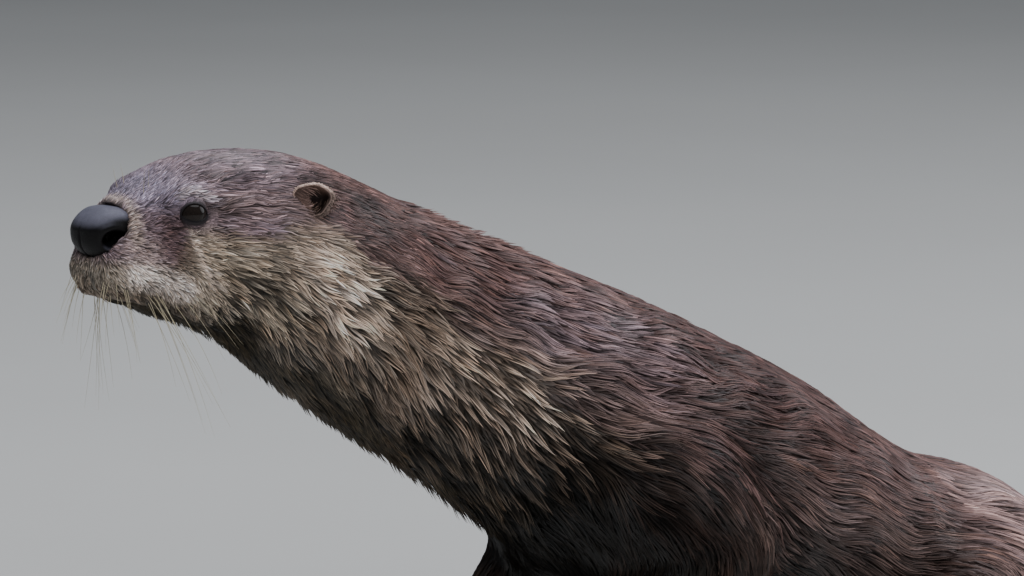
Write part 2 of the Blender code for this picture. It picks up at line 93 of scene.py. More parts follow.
def mesh_points(mesh):
    """A mesh's points as an array of rows."""
    co = np.empty(len(mesh.vertices) * 3)
    mesh.vertices.foreach_get("co", co)
    return co.reshape(-1, 3)


def mesh_faces(mesh, corners):
    """A mesh's faces as rows of point numbers, where all have the same number of corners."""
    found = np.empty(len(mesh.loops), dtype=np.int32)
    mesh.loops.foreach_get("vertex_index", found)
    return found.reshape(-1, corners)


def new_object(name, points, faces, smooth=True):
    """An object at the origin from an array of points and a list of face arrays, each of equal corners."""
    mesh = bpy.data.meshes.new(name)
    mesh.vertices.add(len(points))
    mesh.vertices.foreach_set("co", np.asarray(points, dtype=np.float32).ravel())
    corners = np.concatenate([f.ravel() for f in faces])
    sizes = np.concatenate([np.full(len(f), f.shape[1]) for f in faces])
    mesh.loops.add(len(corners))
    mesh.loops.foreach_set("vertex_index", corners.astype(np.int32))
    mesh.polygons.add(len(sizes))
    mesh.polygons.foreach_set("loop_start", (np.cumsum(sizes) - sizes).astype(np.int32))
    mesh.update(calc_edges=True)
    mesh.validate()
    mesh.polygons.foreach_set("use_smooth", np.full(len(mesh.polygons), smooth))
    thing = bpy.data.objects.new(name, mesh)
    bpy.context.scene.collection.objects.link(thing)
    return thing


def nearest(points, targets, block=2000):
    """The index of the target nearest to each point, by squared distances a block at a time."""
    found = np.empty(len(points), dtype=np.int64)
    square = (targets ** 2).sum(axis=1)
    for at in range(0, len(points), block):
        found[at:at + block] = np.argmin(square[None, :] - 2.0 * points[at:at + block] @ targets.T, axis=1)
    return found


def flesh_shell():
    """Every flesh solid's points moved out a little along their normals, so that neighbours meet, then one
    voxel surface over all of them. Returns its points, its triangles and each point's nearest solid."""
    points, faces, owners, start = [], [], [], 0
    for label, name in enumerate(FLESH):
        work = bmesh.new()
        work.from_mesh(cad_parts[name].data)
        bmesh.ops.remove_doubles(work, verts=work.verts, dist=1e-5)
        bmesh.ops.triangulate(work, faces=work.faces)
        mesh = bpy.data.meshes.new("part")
        work.to_mesh(mesh)
        work.free()
        normals = np.empty(len(mesh.vertices) * 3)
        mesh.vertex_normals.foreach_get("vector", normals)
        points.append(mesh_points(mesh) + normals.reshape(-1, 3) * SEAM_SWELL)
        faces.append(mesh_faces(mesh, 3) + start)
        owners.append(np.full(len(mesh.vertices), label))
        start += len(mesh.vertices)
        bpy.data.meshes.remove(mesh)
    points, owners = np.concatenate(points), np.concatenate(owners)
    shell = new_object("shell", points, [np.concatenate(faces)])
    grow = shell.modifiers.new("grow", "REMESH")
    grow.mode = "VOXEL"
    grow.voxel_size = SKIN_STEP
    grown = bpy.data.meshes.new_from_object(shell.evaluated_get(bpy.context.evaluated_depsgraph_get()))
    surface, quads = mesh_points(grown), mesh_faces(grown, 4).astype(np.int64)
    bpy.data.objects.remove(shell)
    bpy.data.meshes.remove(grown)
    owner = owners[nearest(surface, points)]
    return surface, np.concatenate((quads[:, (0, 1, 2)], quads[:, (0, 2, 3)])), owner


def edges_of(faces, base=10_000_000):
    """Each triangle's three edges, low index first, as a list of different ones with each edge's place in it.
    An edge's key is its low index times base plus its high one."""
    pairs = np.sort(np.stack((faces, np.roll(faces, -1, axis=1)), axis=-1).reshape(-1, 2), axis=1)
    keys, place = np.unique(pairs[:, 0] * base + pairs[:, 1], return_inverse=True)
    return np.stack((keys // base, keys % base), axis=1), place.reshape(-1, 3)


def relaxed(values, edges, passes, forward=SMOOTH_IN, back=0.0):
    """Each value moved a share of the way to the mean of its neighbours, pass after pass; with back, each
    pass is followed by a step outwards, which keeps the volume."""
    count = np.bincount(edges.ravel(), minlength=len(values))[:, None]
    flat = values.reshape(len(values), -1)
    first, second = edges.T
    for share in [forward, back] * passes:
        if share != 0.0:
            total = np.stack([
                np.bincount(first, column[second], len(flat)) + np.bincount(second, column[first], len(flat))
                for column in flat.T], axis=1)
            flat = flat + share * (total / count - flat)
    return flat.reshape(values.shape)


def refined(points, faces, owner, inside):
    """Every edge with both ends inside is halved: a triangle with three such edges becomes four, and one
    with a single such edge becomes two."""
    edges, place = edges_of(faces)
    halved = inside[edges[:, 0]] & inside[edges[:, 1]]
    middle = np.where(halved, len(points) + np.cumsum(halved) - 1, -1)[place]
    points_out = np.concatenate((points, points[edges[halved]].mean(axis=1)))
    owner_out = np.concatenate((owner, owner[edges[halved][:, 0]]))
    count = (middle >= 0).sum(axis=1)
    whole = faces[count == 0]
    a, b, c = faces[count == 3].T
    ab, bc, ca = middle[count == 3].T
    four = np.concatenate([np.stack(t, axis=1) for t in ((a, ab, ca), (ab, b, bc), (ca, bc, c), (ab, bc, ca))])
    one, mids = faces[count == 1], middle[count == 1]
    turn = (np.argmax(mids >= 0, axis=1)[:, None] + np.arange(3)) % 3
    a, b, c = np.take_along_axis(one, turn, axis=1).T
    m = mids.max(axis=1)
    two = np.concatenate((np.stack((a, m, c), axis=1), np.stack((m, b, c), axis=1)))
    return points_out, np.concatenate((whole, four, two)), owner_out


def point_normals(points, faces):
    """Each point's normal: the sum of its triangles' normals, which are as long as the triangles are large."""
    a, b, c = (points[faces[:, corner]] for corner in range(3))
    total = [np.bincount(faces.ravel(), np.repeat(column, 3), len(points)) for column in cross(b - a, c - a).T]
    return unit(np.stack(total, axis=1))


skin_points, skin_faces, skin_owner = flesh_shell()
skin_points = relaxed(skin_points, edges_of(skin_faces)[0], 10, SMOOTH_IN, SMOOTH_OUT)
for head_length in HEAD_LENGTHS:
    skin_points, skin_faces, skin_owner = refined(
        skin_points, skin_faces, skin_owner, skin_points[:, 0] - LIPS[0] < head_length)
    skin_points = relaxed(skin_points, edges_of(skin_faces)[0], 3, SMOOTH_IN, SMOOTH_OUT)
skin_edges = edges_of(skin_faces)[0]
skin_normals = point_normals(skin_points, skin_faces)

# The middle lines of the body and the limbs, as distance behind the lips, distance to the side and height.
BODY_LINE = (
    (0.0, 0, 0.2535), (0.05, 0, 0.2545), (0.09, 0, 0.25), (0.15, 0, 0.2212), (0.225, 0, 0.184),
    (0.33, 0, 0.131), (0.45, 0, 0.08), (0.57, 0, 0.04), (0.675, 0.006, 0.0255), (0.81, 0.034, 0.0165),
    (0.89, 0.044, 0.0125), (1.025, 0.034, 0.0055))
LIMB_LINES = {
    "foreleg": (
        (0.286, 0.034, 0.166), (0.314, 0.049, 0.118), (0.334, 0.052, 0.093), (0.288, 0.053, 0.034),
        (0.275, 0.053, 0.01)),
    "forepaw": ((0.29, 0.054, 0.01), (0.21, 0.054, 0.006)),
    "hindleg": (
        (0.56, 0.04, 0.07), (0.515, 0.052, 0.058), (0.468, 0.068, 0.045), (0.495, 0.071, 0.034),
        (0.555, 0.068, 0.016)),
    "hindfoot": ((0.56, 0.069, 0.012), (0.42, 0.073, 0.006))}
RIGHT_REACH = 0.035  # the right forepaw stands this much further forward
LEG_TOP = 0.166  # the reach forward grows from nothing at this height to all of it at the floor


def frame_line(line, side=-1.0, reach=0.0):
    """Points given as back, out and up, in the frame; reach moves the lower ones forward."""
    line = np.array(line, dtype=float)
    line[:, 0] -= reach * (1.0 - np.clip(line[:, 2] / LEG_TOP, 0.0, 1.0))
    return np.stack((line[:, 0] + LIPS[0], side * line[:, 1], line[:, 2]), axis=1)


def along_line(points, line):
    """How far along a bent line each point is, in metres, its angle round the line in turns, and the line's
    own direction there, from the nearest stretch of the line."""
    best = np.full(len(points), np.inf)
    length, turn, heading = np.zeros(len(points)), np.zeros(len(points)), np.zeros((len(points), 3))
    run = np.linalg.norm(np.diff(line, axis=0), axis=1)
    tangents = np.diff(line, axis=0) / run[:, None]
    corners = unit(np.concatenate((tangents[:1], tangents[:-1] + tangents[1:], tangents[-1:])))
    for i, start in enumerate(line[:-1]):
        t = np.clip((points - start) @ tangents[i] / run[i], 0.0, 1.0)
        away = points - start - t[:, None] * (tangents[i] * run[i])
        distance = (away ** 2).sum(axis=1)
        closer = distance < best
        best = np.where(closer, distance, best)
        ahead = unit((1.0 - t[:, None]) * corners[i] + t[:, None] * corners[i + 1])
        if abs(tangents[i][2]) < 0.8:
            side = unit(cross(np.array([0.0, 0.0, 1.0]) + 0 * ahead, ahead) + 1e-9)
        else:
            side = np.array([0.0, 1.0, 0.0]) + 0 * ahead
        upper = cross(ahead, side)
        angle = np.arctan2((away * side).sum(axis=1), (away * upper).sum(axis=1)) / (2.0 * np.pi)
        length = np.where(closer, run[:i].sum() + t * run[i], length)
        turn = np.where(closer, angle, turn)
        heading = np.where(closer[:, None], ahead, heading)
    return length, turn, heading


# Each stretch of skin: its solids, its middle line, and its place on the unwrap: left, low, width, height.
STRETCHES = [(FLESH[:5], frame_line(BODY_LINE), (0.0, 0.0, 1.0, 0.6))]
for side_name, side in SIDES:
    for part, line in LIMB_LINES.items():
        left_edge = 0.125 * (len(STRETCHES) - 1)
        reach = RIGHT_REACH if side_name == "_right" else 0.0
        STRETCHES.append(([part + side_name], frame_line(line, side, reach), (left_edge, 0.64, 0.12, 0.35)))
skin_length = np.zeros(len(skin_points))
skin_turn = np.zeros(len(skin_points))
skin_heading = np.zeros((len(skin_points), 3))
skin_stretch = np.zeros(len(skin_points), dtype=int)
for number, (names, line, _) in enumerate(STRETCHES):
    chosen = np.isin(skin_owner, [FLESH.index(name) for name in names])
    skin_stretch[chosen] = number
    skin_length[chosen], skin_turn[chosen], skin_heading[chosen] = along_line(skin_points[chosen], line)


def share_of(*parts):
    """How much each skin point belongs to parts with such names: 1 inside, falling off over a centimetre."""
    chosen = [i for i, name in enumerate(FLESH) if name.startswith(parts)]
    return relaxed(np.isin(skin_owner, chosen).astype(float), skin_edges, 12)


is_foot = share_of("forepaw", "hindfoot")
is_foreleg = share_of("foreleg")
is_thigh = share_of("hindleg")
is_limb = np.clip(is_foot + is_foreleg + is_thigh, 0.0, 1.0)
is_upper = is_foreleg * ramp(skin_points[:, 2], 0.085, 0.13) + is_thigh * ramp(skin_points[:, 2], 0.05, 0.085)
body_run, body_turn, _ = along_line(skin_points, frame_line(BODY_LINE))

# How deep the coat lies over the skin, in metres, by distance along the body, then on limbs and feet.
COAT_STATIONS = (0.0, 0.02, 0.05, 0.09, 0.13, 0.18, 0.3, 0.6, 0.75, 0.95, 1.05)
COAT_DEPTHS = (0.0004, 0.0006, 0.0009, 0.0014, 0.0024, 0.003, 0.0028, 0.0026, 0.0022, 0.0015, 0.0008)
LEG_DEPTH, FOOT_DEPTH = 0.0016, 0.0006
is_lower = np.clip(is_foreleg + is_thigh - is_upper, 0, 1)
coat_depth = np.interp(body_run, COAT_STATIONS, COAT_DEPTHS) * (1 - is_limb + is_upper)
coat_depth = coat_depth + LEG_DEPTH * is_lower + FOOT_DEPTH * is_foot
skin_points = skin_points - skin_normals * (coat_depth + SEAM_SWELL)[:, None]


def one_sided(points):
    """Points as distance behind the lips, distance out from the middle and height."""
    return np.stack((points[:, 0] - LIPS[0], np.abs(points[:, 1]), points[:, 2]), axis=1)


def around(points, place, half):
    """1 at a place and falling off smoothly past its half sizes, the same on both sides of the animal."""
    away = (one_sided(points) - np.array(place)) / np.array(half)
    return np.exp(-((away ** 2).sum(axis=1) ** 1.3))


def from_curve(points, curve):
    """The distance of each point from a bent line of back, out and up on both sides, and how far above it
    the point is."""
    near = one_sided(points)
    best, above = np.full(len(points), np.inf), np.zeros(len(points))
    curve = np.array(curve)
    for start, end in zip(curve[:-1], curve[1:]):
        t = np.clip((near - start) @ (end - start) / ((end - start) ** 2).sum(), 0.0, 1.0)
        away = near - start - t[:, None] * (end - start)
        distance = np.linalg.norm(away, axis=1)
        above = np.where(distance < best, away[:, 2], above)
        best = np.minimum(best, distance)
    return best, above


def bell(x, width):
    """1 where x is nothing and falling off smoothly past the width."""
    return np.exp(-(x / width) ** 2)


# The mouth's line, and how much deeper the skin lies under the jaw and throat, by distance behind the
# lips: the lower jaw sits inside the upper lip, and the wet coat clings to a slim throat.
MOUTH_LINE = (
    (0.0135, 0.0, 0.2388), (0.0145, 0.005, 0.2377), (0.0165, 0.0085, 0.2363), (0.0256, 0.0128, 0.2342),
    (0.0355, 0.0161, 0.2314), (0.0448, 0.0189, 0.2278), (0.057, 0.0195, 0.2228))
TUCK_STATIONS = (0.008, 0.018, 0.03, 0.044, 0.06, 0.086, 0.108, 0.125, 0.145, 0.18, 0.24, 0.28)
TUCK_DEPTHS = (0.0, 0.0036, 0.003, 0.0036, 0.0044, 0.006, 0.006, 0.005, 0.004, 0.0028, 0.0022, 0.0)
mouth_above = from_curve(skin_points, MOUTH_LINE)[1]
skin_back = skin_points[:, 0] - LIPS[0]
under_mouth = np.maximum(ramp(mouth_above, 0.001, -0.003), ramp(skin_back, 0.052, 0.08))
tuck = np.interp(skin_back, TUCK_STATIONS, TUCK_DEPTHS) * (ramp(skin_normals[:, 2], 0.15, -0.55) * under_mouth)
skin_points = skin_points - skin_normals * relaxed(tuck, skin_edges, 6)[:, None]

# The line of the back: how far it rises over the ribs, dips in front of the haunch and swells on the rump.
RIDGE = (
    (0.24, 0.0), (0.31, 0.0022), (0.39, 0.0022), (0.42, 0.001), (0.436, -0.002), (0.452, -0.0042),
    (0.467, -0.006), (0.48, -0.007), (0.497, -0.0064), (0.508, -0.0042), (0.52, -0.0012), (0.533, 0.0012),
    (0.548, 0.0018), (0.58, 0.0))
ridge = np.interp(skin_points[:, 0] - LIPS[0], *np.array(RIDGE).T) * ramp(skin_normals[:, 2], 0.05, 0.7)
skin_points[:, 2] += relaxed(ridge, skin_edges, 6)

# Folds of the face: place as back, out and up, half sizes, and how far each stands out or in.
NOSE_MIDDLE = np.array([0.0185, 0.0, 0.2635])
NOSE_SOCKET = np.array([0.0125, 0.014, 0.0114])  # half sizes of the rim of skin round the nose pad
FACE_FOLDS = (
    ((0.043, 0.0235, 0.28), (0.009, 0.005, 0.003), 0.0012),  # brow
    ((0.054, 0.0275, 0.279), (0.007, 0.005, 0.003), 0.0009),  # brow's outer end
    ((0.037, 0.025, 0.264), (0.004, 0.006, 0.008), -0.0009),  # hollow before the eye
    ((0.044, 0.029, 0.258), (0.0025, 0.006, 0.01), 0.0009),  # fold under the eye
    ((0.056, 0.031, 0.27), (0.004, 0.006, 0.0025), -0.0008),  # crease behind the eye
    ((0.026, 0.019, 0.244), (0.012, 0.009, 0.006), 0.001),  # whisker pad
    ((0.024, 0.015, 0.258), (0.004, 0.006, 0.006), -0.0016),  # hollow behind the nostril
    ((0.012, 0.0, 0.248), (0.012, 0.001, 0.007), -0.0008))  # groove of the upper lip
CREASE = (  # in front of the thigh
    (0.457, 0.06, 0.102), (0.452, 0.064, 0.09), (0.454, 0.0667, 0.076), (0.46, 0.067, 0.064))
MOUTH_DEPTH, MOUTH_WIDTH = 0.0014, 0.0016
LIP_SWELL, LIP_WIDTH = 0.0009, 0.0045
CREASE_DEPTH, CREASE_WIDTH, CREASE_SWELL = 0.003, 0.0035, 0.002
SOCKET_SWELL = 0.0011
mouth_distance, mouth_above = from_curve(skin_points, MOUTH_LINE)
crease_distance = from_curve(skin_points, CREASE)[0]
from_pad = np.linalg.norm((skin_points - LIPS - NOSE_MIDDLE) / NOSE_SOCKET, axis=1)
face_shift = sum(height * around(skin_points, place, half) for place, half, height in FACE_FOLDS)
face_shift -= MOUTH_DEPTH * bell(mouth_distance, MOUTH_WIDTH)
face_shift += LIP_SWELL * bell(mouth_distance, LIP_WIDTH) * ramp(mouth_above, 0.0, 0.002)
face_shift += SOCKET_SWELL * bell(from_pad - 1.05, 0.22)
face_shift -= CREASE_DEPTH * bell(crease_distance, CREASE_WIDTH)
behind = ramp(skin_points[:, 0] - LIPS[0], 0.45, 0.462)
face_shift += CREASE_SWELL * bell(crease_distance - 0.008, 0.005) * behind
skin_points = skin_points + skin_normals * face_shift[:, None]

# Paws: for each, its name, its line and the names of its claws. The furrows between the toes.
PAWS = []
for limb, part, reach in (("fore", "forepaw", RIGHT_REACH), ("hind", "hindfoot", 0.0)):
    for side_name, side in SIDES:
        line = frame_line(LIMB_LINES[part], side, reach if side_name == "_right" else 0.0)
        PAWS.append((limb + side_name, line, [f"claw_{limb}{side_name}_{number}" for number in range(1, 6)]))
TOE_LENGTH, TOE_HEIGHT, FURROW_DEPTH, FURROW_WIDTH = 0.026, 0.006, 0.004, 0.0026
SOLE_HEIGHT = 0.0004  # the skin stays this far over the floor


def toe_furrows():
    """How deep the furrow between two toes is at each skin point: deepest where the two nearest toe lines,
    run back from the claws' roots to the wrist, are equally far, fading out up the foot."""
    depth = np.zeros(len(skin_points))
    for _, line, claws in PAWS:
        away = []
        for low, high in map(box_of, claws):
            tip = np.array([high[0], (low[1] + high[1]) / 2.0, TOE_HEIGHT])
            toe = unit(line[0] - tip) * TOE_LENGTH
            t = np.clip((skin_points - tip) @ toe / (toe ** 2).sum(), 0.0, 1.0)
            gap = (skin_points - tip - t[:, None] * toe)[:, :2]
            away.append(np.hypot(gap[:, 0], gap[:, 1]) + 0.004 * ramp(t, 0.5, 1.0))
        away = np.sort(np.stack(away), axis=0)
        near = ramp(away[0], 0.016, 0.008) * is_foot
        depth = np.maximum(depth, near * bell(away[1] - away[0], FURROW_WIDTH) * ramp(away[0], 0.009, 0.006))
    return depth


toe_gap = toe_furrows() * ramp(skin_normals[:, 2], -0.3, 0.2)
skin_points = skin_points - skin_normals * (FURROW_DEPTH * toe_gap)[:, None]
skin_points[:, 2] = np.maximum(skin_points[:, 2], SOLE_HEIGHT)
skin_normals = point_normals(skin_points, skin_faces)


def neighbour_table(count, edges, width=12):
    """Each point's neighbours in one row, itself first, filled up with itself."""
    both = np.concatenate((edges, edges[:, ::-1]))
    both = both[np.argsort(both[:, 0], kind="stable")]
    slot = np.arange(len(both)) - np.searchsorted(both[:, 0], both[:, 0]) + 1
    table = np.repeat(np.arange(count)[:, None], width, axis=1)
    kept = slot < width
    table[both[kept, 0], slot[kept]] = both[kept, 1]
    return table


skin_near = neighbour_table(len(skin_points), skin_edges)


# How steeply the hair runs down, as fall for each metre back, at stations along the body (rows of five
# rings: middle of the back, upper side, middle of the side, lower side, belly).
LIE_STATIONS = (0.0, 0.05, 0.09, 0.13, 0.18, 0.24, 0.3, 0.36, 0.42, 0.5, 0.6)
LIE_RINGS = (0.0, 0.55, 1.0, 1.5, 2.0)
LIE_FALL = (
    (0.0, -0.1, 0.2, 0.5, 0.5, 0.5, 0.5, 0.45, 0.42, 0.38, 0.2),
    (0.0, 0.0, 0.22, 0.5, 0.5, 0.38, 0.2, 0.25, 0.35, 0.38, 0.2),
    (0.35, 0.28, 0.32, 0.5, 0.58, 0.5, 0.15, 0.3, 0.42, 0.42, 0.22),
    (0.9, 0.8, 0.95, 1.4, 1.6, 1.5, 1.0, 0.9, 0.8, 0.6, 0.25),
    (0.2, 0.2, 0.3, 0.6, 0.6, 0.6, 0.5, 0.45, 0.42, 0.3, 0.2))
# Where the lie turns: places as back, out and up, half sizes, and directions.
FAN_FROM, FAN_REACH = (0.012, 0.0, 0.262), 0.026  # the hair of the muzzle fans out from the nose
ELBOW_PLACE, ELBOW_HALF, ELBOW_LIE = (0.33, 0.07, 0.122), (0.026, 0.03, 0.024), (0.69, 0.0, -0.72)
KNEE_PLACE, KNEE_HALF = (0.466, 0.066, 0.08), (0.02, 0.03, 0.019)
SWIRL_MIDDLE, SWIRL_SIZE = (0.468, 0.0, 0.074), 0.014  # the hair of the thigh turns round here
LIP_LIE, FOOT_LIE, THIGH_LIE = (0.2, 0.0, -0.9), (-1.0, 0.0, -0.15), (0.9, 0.0, -0.8)


def flow_of_hair():
    """The lie of the coat at each skin point: back along the body with the fall of the table, away from the
    nose on the muzzle, hanging at the lips, along the limbs to the toes, smoothed and laid in the surface."""
    ring = np.abs(body_turn) * 4.0
    falls = np.stack([np.interp(body_run, LIE_STATIONS, row) for row in LIE_FALL])
    place = np.interp(ring, LIE_RINGS, np.arange(5))
    low = np.minimum(place.astype(int), 3)
    column = np.arange(len(skin_points))
    fall = falls[low, column] * (low + 1 - place) + falls[low + 1, column] * (place - low)
    flow = unit(np.stack((np.ones(len(fall)), 0 * fall, -fall), axis=1))

    def turned(towards, share):
        return flow * (1 - share[:, None]) + towards * share[:, None]

    flow = turned(skin_heading, ramp(body_run, 0.58, 0.66))
    flow = turned(skin_heading, is_limb * (1 - is_upper))
    flow = turned(np.array(ELBOW_LIE), around(skin_points, ELBOW_PLACE, ELBOW_HALF))
    from_nose = skin_points - (LIPS + np.array(FAN_FROM))
    flow = turned(unit(from_nose), bell(np.linalg.norm(from_nose, axis=1), FAN_REACH))
    lip = bell(mouth_distance, 0.012) * ramp(mouth_above, -0.003, 0.001)
    flow = flow + lip[:, None] * np.array(LIP_LIE)
    flow = turned(np.array(FOOT_LIE), is_foot)
    flow += is_thigh[:, None] * np.array(THIGH_LIE)
    thigh = skin_points - LIPS - np.array(SWIRL_MIDDLE)
    swirl = np.stack((thigh[:, 2], 0 * thigh[:, 2], -thigh[:, 0]), axis=1) / SWIRL_SIZE
    flow += swirl * around(skin_points, KNEE_PLACE, KNEE_HALF)[:, None]
    flow = relaxed(unit(flow), skin_edges, 8)
    flow = flow - skin_normals * (flow * skin_normals).sum(axis=1, keepdims=True)
    flow[np.linalg.norm(flow, axis=1) < 0.15] = 0.0
    flow = relaxed(flow, skin_edges, 10)
    return unit(flow - skin_normals * (flow * skin_normals).sum(axis=1, keepdims=True))


hair_flow = flow_of_hair()

# Colours of the coat, as linear red, green and blue.
BACK_BROWN = (0.118, 0.068, 0.064)
CROWN_GREY = (0.172, 0.126, 0.146)
# Painted sheen: a blue tint on the top of the forehead, standing for sky light on the wet fur.
FOREHEAD_SHEEN_BLUE = (0.215, 0.182, 0.238)
SIDE_BROWN = (0.176, 0.124, 0.116)
# Painted sheen: blue-grey laid on the shoulder for light reflected off the wet fur.
SHOULDER_SHEEN_GREY = (0.27, 0.2, 0.222)
CHEEK_TAN = (0.195, 0.156, 0.124)
NECK_TAN = (0.132, 0.098, 0.076)
PALE_TAN = (0.68, 0.53, 0.43)
LIP_WHITE = (0.56, 0.49, 0.45)
LIP_GREY = (0.27, 0.235, 0.195)
# Painted shade on the throat where it faces down.
THROAT_SHADE = (0.026, 0.02, 0.012)
# Painted shade on the chin under the overhanging lip.
JAW_SHADE = (0.016, 0.013, 0.008)
# Painted shade on the chest, and on the belly where it faces down.
BELLY_SHADE = (0.004, 0.003, 0.002)
HAUNCH_FAWN = (0.39, 0.262, 0.255)
# The forelegs' dark brown, deepened to near black as painted shade under the chest.
LIMB_DARK_AND_SHADE = (0.018, 0.011, 0.009)
FOOT_DARK = (0.034, 0.025, 0.021)
PALE_LINE = np.array((  # distance behind the lips and height: below it the sides are tan
    (0.0107, 0.2519), (0.0226, 0.2522), (0.0344, 0.25), (0.043, 0.264), (0.0532, 0.2645), (0.0955, 0.265),
    (0.1185, 0.258), (0.1356, 0.2413), (0.1618, 0.219), (0.1895, 0.202), (0.2336, 0.175), (0.3, 0.125)))
# Marks over the ground colours: colour, strength, half width, and the line of back, out and up they follow.
MARKS = (
    (PALE_TAN, 0.9, 0.0125, (  # cheek
        (0.096, 0.045, 0.252), (0.106, 0.046, 0.241), (0.113, 0.046, 0.233))),
    (NECK_TAN, 0.85, 0.01, (  # cheek, lower down
        (0.093, 0.038, 0.218), (0.108, 0.041, 0.212), (0.122, 0.042, 0.204))),
    (PALE_TAN, 0.45, 0.015, (  # band down the neck
        (0.164, 0.045, 0.202), (0.182, 0.045, 0.193), (0.198, 0.05, 0.186), (0.212, 0.05, 0.182))),
    ((0.022, 0.017, 0.01), 0.9, 0.0085, (  # painted shadow in the pocket of the throat behind the jaw
        (0.092, 0.008, 0.208), (0.102, 0.015, 0.204), (0.112, 0.0185, 0.198), (0.1246, 0.0168, 0.187),
        (0.142, 0.016, 0.178))),
    ((0.036, 0.027, 0.018), 0.58, 0.012, (  # painted shade down the underside of the neck
        (0.125, 0.024, 0.196), (0.145, 0.025, 0.183), (0.175, 0.028, 0.166), (0.205, 0.03, 0.15))),
    ((0.3, 0.245, 0.19), 0.85, 0.013, (  # jaw
        (0.056, 0.031, 0.242), (0.0654, 0.036, 0.2377), (0.08, 0.032, 0.23))),
    ((0.078, 0.04, 0.037), 0.85, 0.024, (  # flank behind the shoulder
        (0.325, 0.03, 0.196), (0.348, 0.0347, 0.185), (0.38, 0.04, 0.164))),
    ((0.02, 0.011, 0.008), 0.7, 0.02, (  # painted shade on the belly behind the elbow
        (0.34, 0.066, 0.087), (0.3736, 0.062, 0.082), (0.42, 0.062, 0.076))),
    (LIP_GREY, 0.9, 0.0056, (  # front of the lip
        (0.009, 0.0, 0.249), (0.0104, 0.009, 0.248), (0.0136, 0.0156, 0.247))),
    (LIP_WHITE, 0.95, 0.0054, (  # side of the lip
        (0.02, 0.0205, 0.2475), (0.0294, 0.0244, 0.2446), (0.04, 0.0275, 0.2405))),
    ((0.24, 0.2, 0.16), 0.8, 0.005, (  # corner of the mouth
        (0.048, 0.028, 0.234), (0.0594, 0.0261, 0.2275), (0.072, 0.02, 0.221))),
    (SHOULDER_SHEEN_GREY, 0.6, 0.016, (  # shoulder, a painted blue-grey sheen of wet fur
        (0.22, 0.045, 0.218), (0.265, 0.0469, 0.1969), (0.285, 0.048, 0.187))),
    ((0.33, 0.255, 0.245), 0.8, 0.006, (  # behind the nostril
        (0.021, 0.017, 0.258), (0.027, 0.02, 0.256))),
    ((0.046, 0.026, 0.025), 0.8, 0.0078, (  # before the eye
        (0.0365, 0.0245, 0.266), (0.034, 0.0238, 0.26), (0.0365, 0.0255, 0.256))),
    ((0.4, 0.33, 0.285), 0.9, 0.0018, (  # fold under the eye
        (0.0432, 0.0275, 0.265), (0.047, 0.0312, 0.25), (0.052, 0.031, 0.242))),
    ((0.07, 0.048, 0.044), 0.6, 0.0022, (  # line behind the eye
        (0.056, 0.031, 0.262), (0.075, 0.037, 0.26))),
    ((0.055, 0.045, 0.048), 0.75, 0.0046, (  # corner of the eye
        (0.05, 0.029, 0.274), (0.058, 0.029, 0.274))),
    ((0.33, 0.285, 0.31), 0.8, 0.0022, (  # brow, a painted highlight along the brow ridge
        (0.04, 0.0235, 0.279), (0.0457, 0.0245, 0.2815), (0.051, 0.028, 0.279))),
    ((0.045, 0.03, 0.03), 0.8, 0.0019, (  # over the brow
        (0.05, 0.02, 0.2858), (0.058, 0.021, 0.2865))),
    ((0.46, 0.37, 0.33), 0.85, 0.0026, (  # round the nose pad
        (0.0225, 0.0, 0.278), (0.023, 0.008, 0.2765), (0.023, 0.014, 0.27), (0.0225, 0.0165, 0.262))),
    ((0.044, 0.031, 0.03), 0.9, 0.0105, (  # over and behind the ear
        (0.106, 0.033, 0.284), (0.118, 0.034, 0.279), (0.138, 0.036, 0.266))),
    ((0.205, 0.145, 0.134), 0.65, 0.01, (  # temple
        (0.064, 0.034, 0.275), (0.082, 0.039, 0.274), (0.096, 0.042, 0.271))),
    ((0.012, 0.008, 0.007), 0.95, 0.0062, (  # painted shade in the hollow behind the ear
        (0.104, 0.042, 0.276), (0.112, 0.043, 0.271), (0.12, 0.044, 0.262))),
    ((0.034, 0.022, 0.019), 0.85, 0.0048, (  # from the ear down
        (0.1165, 0.043, 0.268), (0.1259, 0.044, 0.2574), (0.1364, 0.045, 0.2456), (0.1476, 0.045, 0.2357))),
    ((0.12, 0.082, 0.072), 0.6, 0.0055, (  # elbow
        (0.3267, 0.0717, 0.125), (0.336, 0.069, 0.116))),
    (HAUNCH_FAWN, 0.95, 0.03, (  # haunch
        (0.495, 0.05, 0.1), (0.53, 0.05, 0.085))),
    ((0.02, 0.01, 0.008), 0.95, 0.009, (  # painted shade in the fold of the knee
        (0.4533, 0.0667, 0.076), (0.456, 0.065, 0.06))),
    ((0.02, 0.012, 0.01), 0.95, 0.004, CREASE[:3]))  # painted shade in the crease before the thigh
